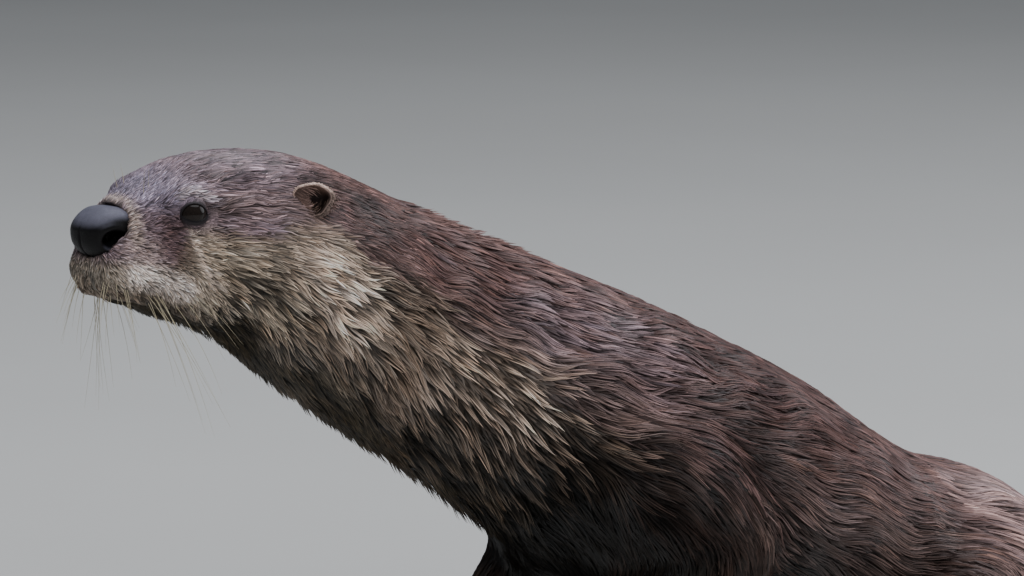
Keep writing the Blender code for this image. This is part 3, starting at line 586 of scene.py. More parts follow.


def markings(points, normals, limb, foot):
    """The coat's colour at each point, as areas laid over each other with soft, uneven edges: brown back and
    sides, tan below a line from nose to ear to shoulder, grey crown, a painted blue sheen on the forehead,
    painted shade on the forelegs, under the chin and on the throat and belly where they face down, then the
    marks along their lines, among them painted shade and painted highlights."""
    back = points[:, 0] - LIPS[0]
    height = points[:, 2]
    wander = 0.005 * ripple(points, 0.04, 11) + 0.0025 * ripple(points, 0.01, 12)
    fine = wander * ramp(back, 0.03, 0.09)
    frayed = 0.3 * np.sign(fine) * np.minimum(np.abs(fine) / 0.005, 1)
    line = np.interp(back, *PALE_LINE.T)
    under = ramp(height + fine, line + 0.004, line - 0.005)
    low = ramp(height + 2 * wander, line, line - 0.045)
    shade = normals[:, 2] + 12.0 * wander
    from_mouth, over_mouth = from_curve(points, MOUTH_LINE)
    jaw = ramp(over_mouth, 0.0004, -0.0014) * ramp(from_mouth, 0.02, 0.012)
    forelimb = ramp(back, 0.42, 0.36) * ramp(height + 2 * wander, 0.164, 0.132)

    def over(base, tint, share):
        return base * (1 - share[:, None]) + np.array(tint) * share[:, None]

    colour = np.tile(BACK_BROWN, (len(points), 1))
    for tint, share in (
            (SIDE_BROWN, ramp(normals[:, 2], 0.5, -0.1)),
            (CROWN_GREY, ramp(back, 0.125, 0.08)),
            (FOREHEAD_SHEEN_BLUE, ramp(back, 0.055, 0.035) * ramp(height, 0.268, 0.278)),
            (CHEEK_TAN, under * ramp(back, 0.25, 0.17)),
            (NECK_TAN, under * ramp(back, 0.118, 0.142) * ramp(back, 0.3, 0.24)),
            (BELLY_SHADE, ramp(back, 0.2, 0.26) * low * ramp(back, 0.38, 0.33)),
            (LIMB_DARK_AND_SHADE, limb * forelimb),
            (SIDE_BROWN, limb * ramp(back, 0.36, 0.42) * 0.7)):
        colour = over(colour, tint, share)
    for tint, strength, width, curve in MARKS:
        distance = from_curve(points, curve)[0]
        near = distance < 3 * width
        share = np.zeros(len(points))
        share[near] = strength * np.exp(-np.abs((distance + width * frayed)[near] / width) ** 2.4)
        colour = over(colour, tint, share)
    for tint, share in (
            (JAW_SHADE, jaw * ramp(back, 0.08, 0.058) * ramp(back, 0.01, 0.014)),
            (THROAT_SHADE, ramp(shade, -0.48, -0.92) * ramp(back, 0.014, 0.03) * ramp(back, 0.3, 0.24)),
            (BELLY_SHADE, ramp(shade, -0.05, -0.55) * ramp(back, 0.2, 0.25) * ramp(back, 0.66, 0.6)),
            (FOOT_DARK, foot)):
        colour = over(colour, tint, share)
    return colour


def unwrapped(stretch, length, turn):
    """Each point's place on the unwrap: along its own stretch's middle line and round it."""
    place = np.zeros((len(length), 2))
    for number, (_, line, (left, low, wide, tall)) in enumerate(STRETCHES):
        chosen = stretch == number
        run = length[chosen] / np.linalg.norm(np.diff(line, axis=0), axis=1).sum()
        round_it = (turn[chosen] + 0.5) * 0.94 + 0.02
        across, up = (run, round_it) if number == 0 else (round_it, run)
        place[chosen] = np.stack((
            left + wide * (0.01 + 0.98 * across), low + tall * (0.01 + 0.98 * up)), axis=1)
    return place


def add_colour(thing, colour):
    """Keeps one colour per point in the mesh, where the material reads it."""
    layer = thing.data.color_attributes.new("coat_colour", "FLOAT_COLOR", "POINT")
    opaque = np.concatenate((colour, np.ones((len(colour), 1))), axis=1)
    layer.data.foreach_set("color", opaque.astype(np.float32).ravel())


def add_map(thing, name, corner_places):
    """A UV map from one place per face corner."""
    layer = thing.data.uv_layers.new(name=name)
    layer.data.foreach_set("uv", corner_places.astype(np.float32).ravel())


def adder(tree):
    """A short way to add a node to a tree: its kind, its inputs as values or as sockets to join, and its
    settings."""
    def add(kind, inputs=(), **settings):
        node = tree.nodes.new(kind)
        for key, value in settings.items():
            setattr(node, key, value)
        for key, value in dict(inputs).items():
            if isinstance(value, bpy.types.NodeSocket):
                tree.links.new(value, node.inputs[key])
            else:
                node.inputs[key].default_value = value
        return node

    return add


def node_graph(name):
    """A new material with one Principled shader, and short ways to add its nodes and to finish it."""
    material = bpy.data.materials.new(name)
    material.use_nodes = True
    tree = material.node_tree
    shader = tree.nodes["Principled BSDF"]

    def finish(slots, **constants):
        for key, socket in slots.items():
            tree.links.new(socket, shader.inputs[key])
        for key, value in constants.items():
            shader.inputs[key.replace("_", " ")].default_value = value
        return material

    return adder(tree), finish


def own_colour(add):
    """The colour that the mesh keeps at each point."""
    return add("ShaderNodeAttribute", attribute_name="coat_colour").outputs["Color"]


def cloud(add, scale, detail):
    """Noise over the object's own coordinates."""
    inputs = {"Vector": add("ShaderNodeTexCoord").outputs["Object"], "Scale": scale, "Detail": detail}
    return add("ShaderNodeTexNoise", inputs).outputs["Fac"]


def spread(add, value, to_low, to_high, low=0.0, high=1.0):
    """A value's stretch from low to high, drawn out from to_low to to_high."""
    inputs = {"Value": value, "From Min": low, "From Max": high, "To Min": to_low, "To Max": to_high}
    return add("ShaderNodeMapRange", inputs).outputs["Result"]


def two_tones(add, value, dark, light):
    """A colour between two by a value."""
    node = add("ShaderNodeValToRGB", {"Fac": value})
    for stop, tint in zip(node.color_ramp.elements, (dark, light)):
        stop.color = (*tint, 1)
    return node.outputs["Color"]


def scaled(add, colour, factor):
    """A colour times a value."""
    return add("ShaderNodeVectorMath", {0: colour, "Scale": factor}, operation="SCALE").outputs["Vector"]


def bumped(add, height, strength, distance):
    """The normal of a bump by a height."""
    inputs = {"Height": height, "Strength": strength, "Distance": distance}
    return add("ShaderNodeBump", inputs).outputs["Normal"]


def hide_material():
    """Wet underfur: the markings' colour, darkened throughout, partly as wet underfur and partly as painted
    shade in the gaps between the locks, and darker in small patches, with a fine nap for bump.
    """
    add, finish = node_graph("wet underfur")
    nap = cloud(add, 1400.0, 3.0)
    shade = spread(add, cloud(add, 120.0, 5.0), 0.16, 0.38, 0.3, 0.7)
    return finish(
        {"Base Color": scaled(add, own_colour(add), shade), "Normal": bumped(add, nap, 0.6, 0.0006),
         "Roughness": spread(add, nap, 0.45, 0.75)}, Specular_IOR_Level=0.2)


skin_colour = markings(skin_points, skin_normals, is_limb, is_foot)
# Painted shade: the skin is darkened along the crease of the mouth and in the furrows between the toes.
mouth_shade = bell(mouth_distance, MOUTH_WIDTH)
skin = new_object("skin", skin_points, [skin_faces])
add_colour(skin, skin_colour * (1.0 - 0.7 * mouth_shade[:, None]) * (1.0 - 0.7 * toe_gap[:, None]))
add_map(skin, "OFBake", unwrapped(skin_stretch, skin_length, skin_turn)[skin_faces].reshape(-1, 2))
skin.data.materials.append(hide_material())
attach(skin, "root")
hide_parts(*FLESH)

# ---------------------------------------------------------------------------------------------
# Coat: wet guard hairs in locks that lie along the body and cling together at their tips.
# Each lock is a thin ridged blade rooted in the skin, paler towards its tip (its own pale tip, and painted
# shade at the root and along the edges), laid along the flow of the coat by walking over the skin in short
# steps. The locks of one area are one joined mesh.
WALK_STEPS = 6
PATCH = 0.003  # size of a lock's patch on the unwrap
STRAND_MM = 1000.0  # the strand map, where single hairs are drawn, is in millimetres


def surface_at(points, start):
    """The skin under each point: climbs from a starting skin point to the nearest one, then takes the mean of
    its neighbourhood, weighted by nearness. Returns the foot point, normal, flow, depth of coat and nearest
    skin point."""
    at = start.copy()
    for _ in range(14):
        ring = skin_near[at]
        distance = ((skin_points[ring] - points[:, None, :]) ** 2).sum(axis=2)
        step = ring[np.arange(len(at)), distance.argmin(axis=1)]
        if (step == at).all():
            break
        at = step
    ring = skin_near[at]
    distance = ((skin_points[ring] - points[:, None, :]) ** 2).sum(axis=2)
    reach = distance[:, 1:7].mean(axis=1, keepdims=True) + 1e-9
    weight = np.exp(-distance / reach)
    weight /= weight.sum(axis=1, keepdims=True)
    normal = unit((skin_normals[ring] * weight[:, :, None]).sum(axis=1))
    middle = (skin_points[ring] * weight[:, :, None]).sum(axis=1)
    foot = points - normal * ((points - middle) * normal).sum(axis=1, keepdims=True)
    flow = (hair_flow[ring] * weight[:, :, None]).sum(axis=1)
    return foot, normal, flow, (coat_depth[ring] * weight).sum(axis=1), at


def sown_roots(density, seed):
    """Root points spread over the skin: along the running total of each triangle's area times its density,
    one root per unit, at a random place in its triangle."""
    rng = np.random.default_rng(seed)
    corners = skin_points[skin_faces]
    area = np.linalg.norm(cross(corners[:, 1] - corners[:, 0], corners[:, 2] - corners[:, 0]), axis=1) / 2.0
    total = np.cumsum(area * density[skin_faces].mean(axis=1))
    count = int(total[-1])
    wanted = (np.arange(count) + rng.uniform(size=count)) * total[-1] / count * 0.999999
    chosen = np.searchsorted(total, wanted)
    share = rng.dirichlet((1.0, 1.0, 1.0), count)
    return (corners[chosen] * share[:, :, None]).sum(axis=1), skin_faces[chosen, 0], rng


def blades(name, path, side, normal, width, crest, colour, shades, edge, home, rings, lift,
           span=(0.0, 1.0), offset=0.0, pinch=0.0, dawn=0.05):
    """Locks as ridged blades, where a measure is one number for all or one for each. Each follows its path
    over span, set off to one side by offset, which shrinks towards the tip by pinch; its half width rises from
    the root, is greatest at a third and runs out to a point; crest, a share of the width, lifts the ridge above
    the edges, and lift is the height over the skin at root, middle and tip. The colour runs from the first of
    shades at dawn's share of the lock to the second at its tip: the hair's own paler tip, and painted shade on
    the root where other locks lie over it. edge darkens its edges as painted shade across the rounded ridge."""
    count, steps = path.shape[:2]

    def each(value):
        return np.broadcast_to(value, count)[:, None]

    start, end = map(each, span)
    along = start + (end - start) * np.linspace(0.0, 1.0, rings) ** 0.9
    low = np.clip((along * (steps - 1)).astype(int), 0, steps - 2)
    part = (along * (steps - 1) - low)[:, :, None]
    rows = np.arange(count)[:, None]

    def taken(array):
        return array[rows, low] * (1 - part) + array[rows, low + 1] * part

    centre, across, out = taken(path), unit(taken(side)), unit(taken(normal))
    t = np.linspace(0.0, 1.0, rings)
    shape = np.interp(t, (0.0, 0.3, 0.6, 0.85, 1.0), (0.55, 1.0, 0.85, 0.45, 0.0))[None, :, None]
    half = 0.5 * each(width)[:, :, None] * shape
    gather = (each(offset) * (1.0 - each(pinch) * along ** 2.0))[:, :, None]
    weights = [np.interp(t, (0.0, 0.5, 1.0), row) for row in np.eye(3)]
    height = sum(each(value) * weight for value, weight in zip(lift, weights))[:, :, None]
    spine = centre + across * gather + out * height
    ridge = spine + out * (each(width) * crest)[:, :, None] * shape
    left, right = spine - across * half, spine + across * half
    body = np.stack((left[:, :-1], ridge[:, :-1], right[:, :-1]), axis=2).reshape(count, -1, 3)
    points = np.concatenate((body, ridge[:, -1:]), axis=1)
    per = points.shape[1]
    first = (3 * np.arange(rings - 2)[:, None] + np.arange(2)).ravel()
    quads = np.stack((first, first + 1, first + 4, first + 3), axis=1)
    tips = np.array([[per - 4, per - 3, per - 1], [per - 3, per - 2, per - 1]])
    shift = (np.arange(count) * per)[:, None, None]
    faces = [(quads + shift).reshape(-1, 4), (tips + shift).reshape(-1, 3)]
    thing = new_object(name, points.reshape(-1, 3), faces)
    share = np.concatenate((np.repeat(t[:-1], 3), [1.0]))
    sideways = np.concatenate((np.tile([-1.0, 0.0, 1.0], rings - 1), [0.0]))
    # Painted shade: darker at the root and along the edges of each lock.
    shade = each(shades[0]) + (each(shades[1]) - each(shades[0])) * ramp(share, dawn, 0.95)
    shade = shade * (1.0 - edge * np.abs(sideways))
    add_colour(thing, np.clip(colour[:, None, :] * shade[:, :, None], 0.0, 1.0).reshape(-1, 3))
    corner = np.concatenate([f.ravel() for f in faces])
    patch = home[:, None, :] + PATCH * np.stack((0.5 + 0.5 * sideways, share), axis=1)[None, :, :]
    add_map(thing, "OFBake", patch.reshape(-1, 2)[corner])
    number = (np.arange(count) % 997)[:, None]  # each lock's strands start elsewhere in the noise
    length = (end - start) * np.linalg.norm(np.diff(path, axis=1), axis=2).sum(axis=1)[:, None]
    strand = np.stack((
        number * 1.37 + sideways * (each(width) * STRAND_MM / 2.0),
        number * 0.71 + share * (length * STRAND_MM)), axis=2)
    add_map(thing, "strand", strand.reshape(-1, 2)[corner])
    return thing


def fur_group():
    """Fur strands, a node group: noise stretched along the lock, in its own millimetres, for the tone of
    single hairs and their height."""
    tree = bpy.data.node_groups.new("fur strands", "ShaderNodeTree")
    for name, kind in (("Place", "Vector"), ("Hairs per mm", "Float"), ("Contrast", "Float")):
        tree.interface.new_socket(name, in_out="INPUT", socket_type="NodeSocket" + kind)
    for name in ("Tone", "Height"):
        tree.interface.new_socket(name, in_out="OUTPUT", socket_type="NodeSocketFloat")
    add = adder(tree)
    given = add("NodeGroupInput").outputs
    squeeze = add("ShaderNodeCombineXYZ", {"X": given["Hairs per mm"], "Y": 0.12, "Z": 1.0}).outputs["Vector"]
    drawn = add("ShaderNodeVectorMath", {0: given["Place"], 1: squeeze}, operation="MULTIPLY").outputs["Vector"]
    noise = {"Vector": drawn, "Scale": 1.0, "Detail": 2.0, "Roughness": 0.6}
    hairs = add("ShaderNodeTexNoise", noise).outputs["Fac"]
    centred = add("ShaderNodeMath", {0: hairs, 1: 0.5}, operation="SUBTRACT").outputs["Value"]
    swing = add("ShaderNodeMath", {0: centred, 1: given["Contrast"]}, operation="MULTIPLY").outputs["Value"]
    tone = add("ShaderNodeMath", {0: swing, 1: 2.0, 2: 1.0}, operation="MULTIPLY_ADD").outputs["Value"]
    add("NodeGroupOutput", {"Tone": tone, "Height": hairs})
    return tree


fur_strands = fur_group()


def coat_material(name, hairs, contrast, roughness, wetness):
    """Wet guard hair: the lock's own colour with the tone of single hairs, a fine bump along it and a film of
    water in patches."""
    add, finish = node_graph(name)
    place = add("ShaderNodeUVMap", uv_map="strand").outputs["UV"]
    strands = add("ShaderNodeGroup", node_tree=fur_strands)
    strands.inputs["Hairs per mm"].default_value = hairs
    strands.inputs["Contrast"].default_value = contrast
    strands.id_data.links.new(place, strands.inputs["Place"])
    height = strands.outputs["Height"]
    return finish(
        {"Base Color": scaled(add, own_colour(add), strands.outputs["Tone"]),
         "Normal": bumped(add, height, 0.7, 0.0003),
         "Roughness": spread(add, height, roughness - 0.08, roughness + 0.1, 0.3, 0.7),
         "Coat Weight": spread(add, cloud(add, 34.0, 3.0), 0.0, wetness, 0.42, 0.62)},
        Coat_Roughness=0.2, Specular_IOR_Level=0.14)


def walked(foot, normal, flow, at, size, lean, wave, wave_size, seed):
    """Walks each root along the flow of the coat, swerving by its own lean and by shared waves. Returns the
    places, the directions across and the normals at each step."""
    path, sides, normals = [], [], []
    for _ in range(WALK_STEPS):
        swing = lean + wave * ripple(foot, wave_size, seed)
        ahead = unit(flow - normal * (flow * normal).sum(axis=1, keepdims=True))
        ahead = ahead * np.cos(swing)[:, None] + cross(normal, ahead) * np.sin(swing)[:, None]
        path.append(foot)
        normals.append(normal)
        sides.append(cross(normal, ahead))
        foot, normal, flow, _, at = surface_at(foot + ahead * (size / (WALK_STEPS - 1))[:, None], at)
    return (np.stack(part, axis=1) for part in (path, sides, normals))


def lay_coat(name, density, length, width, strands, seed, material, pinch=0.85, crest=0.35,
             heights=(0.1, 0.6, 1.0), shades=(0.45, 1.25), edge=0.25, tone=0.22, jitter=0.18, wave=0.15,
             wave_size=0.03, rings=5, flick=0.0, fullness=1.05, stand=None, dawn=0.05):
    """Sows tufts over the skin, walks each along the flow of the coat, and lays its locks side by side so that
    they close up at the tip. heights are shares of the coat's depth, and stand lifts the tips off the skin."""
    roots, start, rng = sown_roots(density, seed)
    count = len(roots)
    size = (length(roots) if callable(length) else np.full(count, length)) * rng.uniform(0.75, 1.25, count)
    girth = (width(roots) if callable(width) else np.full(count, width)) * rng.uniform(0.75, 1.25, count)
    foot, normal, flow, depth, at = surface_at(roots, start)
    lean = rng.normal(0.0, jitter, count)
    path, sides, normals = walked(foot, normal, flow, at, size, lean, wave, wave_size, seed + 5)
    pick = np.repeat(np.arange(count), strands)
    many = len(pick)
    slot = np.tile((np.arange(strands) - (strands - 1) / 2.0) / strands, count)
    slot = slot + rng.normal(0.0, 0.12, many) * (strands > 1)
    body = rng.uniform(0.6, 1.1, count)[pick] * depth[pick]
    home = unwrapped(skin_stretch[at], skin_length[at], skin_turn[at])
    low, high = home.min(axis=0), home.max(axis=0)
    home = (home - low) / (high - low) * 0.99
    colour = markings(foot, normal, is_limb[at], is_foot[at])
    warm = rng.normal(0.0, 0.035, (count, 1)) * np.array([1.0, 0.0, -1.0])
    own = rng.normal(0.0, tone, (count, 1)) + warm + 0.25 * ripple(foot, 0.02, seed + 9)[:, None]
    colour = (colour * np.exp(own))[pick]
    colour = colour * np.exp(rng.normal(0.0, 0.26 if strands > 1 else tone * 0.6, (many, 1)))
    thin = girth[pick] * (1.0 if strands == 1 else fullness / strands)
    late = rng.uniform(0.0, 0.2, many) * (strands > 1)
    proud = 0.0 if stand is None else (stand[at] * rng.uniform(0.2, 1.0, count))[pick]
    end = 1.0 if strands == 1 else 1.0 - (0.1 + 0.25 * rng.uniform(0, 1, many)) * np.abs(slot) * 2.0
    middle_lift = body * heights[1] + thin * 0.15 * rng.uniform(0, 1, many)
    tip_lift = body * heights[2] + flick * girth[pick] * rng.uniform(0, 1, many) + proud
    tip_shade = shades[1] * rng.uniform(0.85, 1.15, many)
    thing = blades(
        name, path[pick], sides[pick], normals[pick], thin, crest, colour, (shades[0], tip_shade), edge,
        home[pick], rings, (body * heights[0], middle_lift, tip_lift), (late, end),
        slot * girth[pick], pinch, dawn)
    thing.data.materials.append(material)
    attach(thing, "root")
    return thing


def by_run(stations, values):
    """A length that changes along the body, from values at stations behind the lips."""
    return lambda points: np.interp(points[:, 0] - LIPS[0], stations, values)


wet_fur = coat_material("wet guard hair", 2.2, 0.7, 0.38, 0.5)
face_fur = coat_material("short face hair", 2.5, 0.45, 0.5, 0.2)

# Where each area of the coat lies, as shares of the skin points.
EYE_PLACE, EYE_CLEARING = (0.0478, 0.0256, 0.2714), (0.007, 0.012, 0.0062)
back_run = skin_points[:, 0] - LIPS[0]
facing_up = skin_normals[:, 2]
on_body = 1.0 - is_limb
bare_skin = (1.0 - around(skin_points, EYE_PLACE, EYE_CLEARING)) * on_body
over_pale = skin_points[:, 2] - np.interp(back_run, *PALE_LINE.T)
tan_side = ramp(over_pale, 0.014, -0.004)
muzzle = ramp(back_run, 0.062, 0.047)
crown = ramp(back_run, 0.048, 0.062) * ramp(back_run, 0.165, 0.145) * ramp(facing_up, -0.05, 0.3)
cheek = ramp(back_run, 0.034, 0.05) * ramp(back_run, 0.165, 0.145) * ramp(facing_up, 0.3, -0.05)
lip = bell(mouth_distance - 0.003, 0.004) * ramp(mouth_above, 0.0, 0.001)
lip *= ramp(back_run, 0.006, 0.014) * ramp(back_run, 0.085, 0.07)
neck = ramp(back_run, 0.125, 0.15) * ramp(back_run, 0.345, 0.285) * on_body
nape = ramp(facing_up, 0.55, 0.9) * ramp(back_run, 0.15, 0.175) * ramp(back_run, 0.25, 0.215)
inner = np.maximum(is_upper, ramp(back_run, 0.06, 0.08) * ramp(back_run, 0.64, 0.6) * on_body)
trunk = np.maximum(ramp(back_run, 0.285, 0.345) * ramp(back_run, 0.64, 0.6) * on_body, is_upper)
elbow = around(skin_points, (0.33, 0.07, 0.121), (0.008, 0.02, 0.008))
tail = ramp(back_run, 0.6, 0.64) * on_body
legs = (is_limb - is_upper) * (1 - is_foot) * ramp(is_limb - is_upper, 0.1, 0.4)
sole = is_foot * ramp(skin_points[:, 2], 0.006, 0.002)
feet = is_foot * (1 - sole) * ramp(is_foot, 0.2, 0.6) * (1 - 0.85 * toe_gap)

# Each area: its roots to the square metre, length and width of a tuft, locks in a tuft, seed and settings.
lay_coat("coat_face", 1.9e6 * muzzle * bare_skin, by_run((0.01, 0.04, 0.07), (0.003, 0.0042, 0.007)),
         0.00065, 1, 101, face_fur, rings=3, shades=(0.38, 1.5), tone=0.34, crest=0.45, jitter=0.16,
         wave=0.25, wave_size=0.01, edge=0.5, heights=(0.0, 0.8, 1.5))
lay_coat("coat_crown", 0.60e6 * bare_skin * crown, 0.0125, 0.0009, 1, 102, wet_fur, rings=4,
         shades=(0.35, 1.35), tone=0.38, crest=0.6, jitter=0.07, wave=0.25, wave_size=0.012, edge=0.6)
lay_coat("coat_cheek", 0.082e6 * cheek * bare_skin, by_run((0.03, 0.07, 0.13), (0.008, 0.018, 0.026)),
         by_run((0.03, 0.07, 0.13), (0.002, 0.0032, 0.0044)), 4, 103, wet_fur, rings=6, shades=(0.18, 2.0),
         tone=0.16, crest=0.8, jitter=0.07, wave=0.16, wave_size=0.018, edge=0.75, fullness=0.88,
         heights=(0.0, 0.8, 1.2), pinch=0.95, flick=0.2, stand=0.003 * ramp(facing_up, -0.2, -0.8), dawn=0.15)
lay_coat("coat_lip", 0.50e6 * lip, 0.009, 0.0018, 3, 111, face_fur, rings=4, shades=(0.25, 1.5), tone=0.25,
         crest=0.6, jitter=0.2, edge=0.6, heights=(0.1, 2.0, 3.6), fullness=0.9)
lay_coat("coat_neck", 0.0250e6 * neck * tan_side, 0.028, 0.0036, 4, 104, wet_fur, rings=6,
         shades=(0.13, 2.1), tone=0.12, crest=0.8, jitter=0.05, wave=0.13, wave_size=0.024, edge=0.75,
         heights=(0.0, 0.8, 1.3), flick=0.35, fullness=0.92, pinch=0.97,
         stand=0.0034 * ramp(facing_up, -0.1, -0.8), dawn=0.25)
# The under layer is dark: wet underfur, and painted shade in the gaps between the locks over it.
lay_coat("coat_under", 0.13e6 * inner, 0.012, 0.0015, 1, 112, wet_fur, rings=3, shades=(0.14, 0.5),
         tone=0.2, crest=0.5, jitter=0.12, edge=0.5, heights=(0.0, 0.4, 0.5))
lay_coat("coat_withers", 0.052e6 * neck * (1 - tan_side), 0.029, 0.0027, 3, 105, wet_fur, rings=6,
         shades=(0.34, 1.5), tone=0.14, crest=1.0, jitter=0.07, wave=0.28, wave_size=0.03, edge=0.75,
         pinch=0.66, fullness=0.95, flick=0.08, heights=(0.0, 0.7, 0.9), stand=0.0034 * nape)
for side_name, half, seed in (("left", skin_points[:, 1] < 0, 106), ("right", skin_points[:, 1] >= 0, 107)):
    lay_coat("coat_" + side_name, 0.056e6 * trunk * half, 0.035, 0.0026, 3, seed, wet_fur, rings=6,
             shades=(0.34, 1.45), tone=0.14, crest=1.0, jitter=0.04, wave=0.26, wave_size=0.034, edge=0.75,
             pinch=0.6, fullness=0.95, heights=(0.0, 0.6, 0.8))
lay_coat("coat_elbows", 0.050e6 * elbow, 0.025, 0.003, 4, 113, wet_fur, rings=6, shades=(0.12, 1.9),
         tone=0.2, crest=0.7, jitter=0.14, edge=0.7, pinch=0.96, fullness=0.9, stand=0.005 * elbow)
lay_coat("coat_tail", 0.075e6 * tail, 0.018, 0.0024, 3, 108, wet_fur, rings=4, shades=(0.35, 1.4),
         tone=0.15, crest=0.6, jitter=0.08, edge=0.6, fullness=0.9)
lay_coat("coat_legs", 0.20e6 * legs, 0.015, 0.0016, 1, 109, wet_fur, rings=4, shades=(0.35, 1.7),
         tone=0.3, crest=0.6, jitter=0.1, edge=0.6)
lay_coat("coat_feet", 0.75e6 * feet, 0.0042, 0.001, 1, 110, face_fur, rings=3, shades=(0.55, 1.25),
         tone=0.25)

# ---------------------------------------------------------------------------------------------
# Eyes: glossy dark balls, nearly black in the pupil with a very dark brown iris round it.
# Glass, as a museum sets them.


def grid_faces(rows, columns):
    """Four-cornered faces of a grid whose columns close into a ring; rows run outwards."""
    i, j = np.meshgrid(np.arange(rows - 1), np.arange(columns), indexing="ij")
    k = (j + 1) % columns
    corners = (i * columns + j, (i + 1) * columns + j, (i + 1) * columns + k, i * columns + k)
    return np.stack(corners, axis=-1).reshape(-1, 4)


def pole_faces(rows, columns):
    """Triangles that close such a grid's first and last ring to two points, which follow the grid's own."""
    j = np.arange(columns)
    k = (j + 1) % columns
    first = np.stack((j * 0 + rows * columns, j, k), axis=1)
    last = np.stack((j * 0 + rows * columns + 1, (rows - 1) * columns + k, (rows - 1) * columns + j), axis=1)
    return np.concatenate((first, last))


add, finish = node_graph("dark eye")
iris = two_tones(add, cloud(add, 900.0, 3.0), (0.004, 0.003, 0.003), (0.014, 0.01, 0.008))
eye_finish = finish({"Base Color": iris}, Roughness=0.1, Specular_IOR_Level=0.22)
for side_name, _ in SIDES:
    low, high = box_of("eye" + side_name)
    centre, radius = (low + high) / 2.0, (high - low).max() / 2.0
    turn, polar = np.meshgrid(np.linspace(0, 2 * np.pi, 48, endpoint=False), np.linspace(0, np.pi, 25)[1:-1])
    ball = np.stack((np.cos(turn) * np.sin(polar), np.sin(turn) * np.sin(polar), np.cos(polar)), axis=-1)
    points = np.concatenate((ball.reshape(-1, 3), [[0, 0, 1], [0, 0, -1]])) * radius + centre
    eye = new_object("eyeball" + side_name, points, [grid_faces(*turn.shape), pole_faces(*turn.shape)])
    eye.data.materials.append(eye_finish)
    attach(eye, "root")
    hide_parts("eye" + side_name)

# ---------------------------------------------------------------------------------------------
# Eyelids: thin dark folds round an almond opening, with a small rolled rim against the ball. They
# swell over the ball and run out under the skin of the face, and carry the shortest hairs of all.
LID_OPEN = (0.0058, 0.0038)  # half the opening, along and across
LID_REACH = (0.0092, 0.0082)  # half the whole fold, along and across
LID_ROWS, LID_COLUMNS, LID_HAIRS = 16, 72, 900
LID_DOWN, LID_BACK = 0.0011, 0.0004  # how far the opening's middle lies below and behind the ball's
LID_CLEAR, LID_ROLL, LID_SWELL = 0.0003, 0.0004, 0.0007  # over the ball, of the rim and of the fold
LID_DARK, LID_BLUE = np.array([0.006, 0.005, 0.006]), np.array([0.026, 0.022, 0.025])


def lid_surface(centre, radius, gaze):
    """Rings about the gaze, from the almond opening out to an oval on the face. Each ring's height is the
    ball's own just outside the opening, with a rolled rim, and turns smoothly into the height of the skin."""
    back = unit(np.array([1.0, 0.0, 0.0]) - gaze * gaze[0])
    up = cross(gaze, back) * np.sign(cross(gaze, back)[2])
    turn = np.linspace(0, 2 * np.pi, LID_COLUMNS, endpoint=False)
    wide, tall = np.cos(turn)[:, None], (np.sign(np.sin(turn)) * np.abs(np.sin(turn)) ** 1.25)[:, None]
    opening = wide * LID_OPEN[0] * (back - 0.1 * up) + tall * LID_OPEN[1] * up
    oval = wide * LID_REACH[0] * back + np.sin(turn)[:, None] * LID_REACH[1] * (up - 0.1 * back)
    t = np.linspace(0.0, 1.0, LID_ROWS)[:, None]
    flat = opening[None] * (1 - t[:, :, None]) + oval[None] * t[:, :, None] - LID_DOWN * up + LID_BACK * back
    apart = np.linalg.norm(flat, axis=2)
    ball = np.sqrt(np.maximum((radius + LID_CLEAR) ** 2 - apart ** 2, 0.0))
    place = centre + flat[-1] + gaze * 0.003
    foot = surface_at(place, nearest(place, skin_points))[0]
    skin_height = (foot - centre) @ gaze
    mix = ramp(t, 0.05, 0.95)
    height = ball * (1 - mix) + (skin_height - 0.0002) * mix
    height = np.maximum(height, ball) + LID_ROLL * bell(t - 0.12, 0.07)
    height += LID_SWELL * bell(t - 0.55, 0.16) * np.maximum(np.sin(turn), 0.2)
    height[-1] = skin_height - 0.0006
    rings = centre + flat + gaze * height[..., None]
    inner_ring = centre + unit(opening + gaze * ball[0][:, None]) * (radius - 0.0004)
    return np.concatenate((inner_ring[None], rings)), back


def short_hairs(name, root, lie, normal, size, bend, width, colour, shades, edge, home, rings, lift):
    """Single short hairs, each along its own lie from its root, bent by the square of the way along it."""
    steps = np.linspace(0, 1, WALK_STEPS)[None, :, None]
    path = root[:, None] + lie[:, None] * steps * size[:, None, None] + bend * steps ** 2
    side, out = (np.repeat(part[:, None], WALK_STEPS, axis=1) for part in (cross(normal, lie), normal))
    hairs = blades(name, path, side, out, width, 0.4, colour, shades, edge, home, rings, lift)
    hairs.data.materials.append(face_fur)
    return hairs


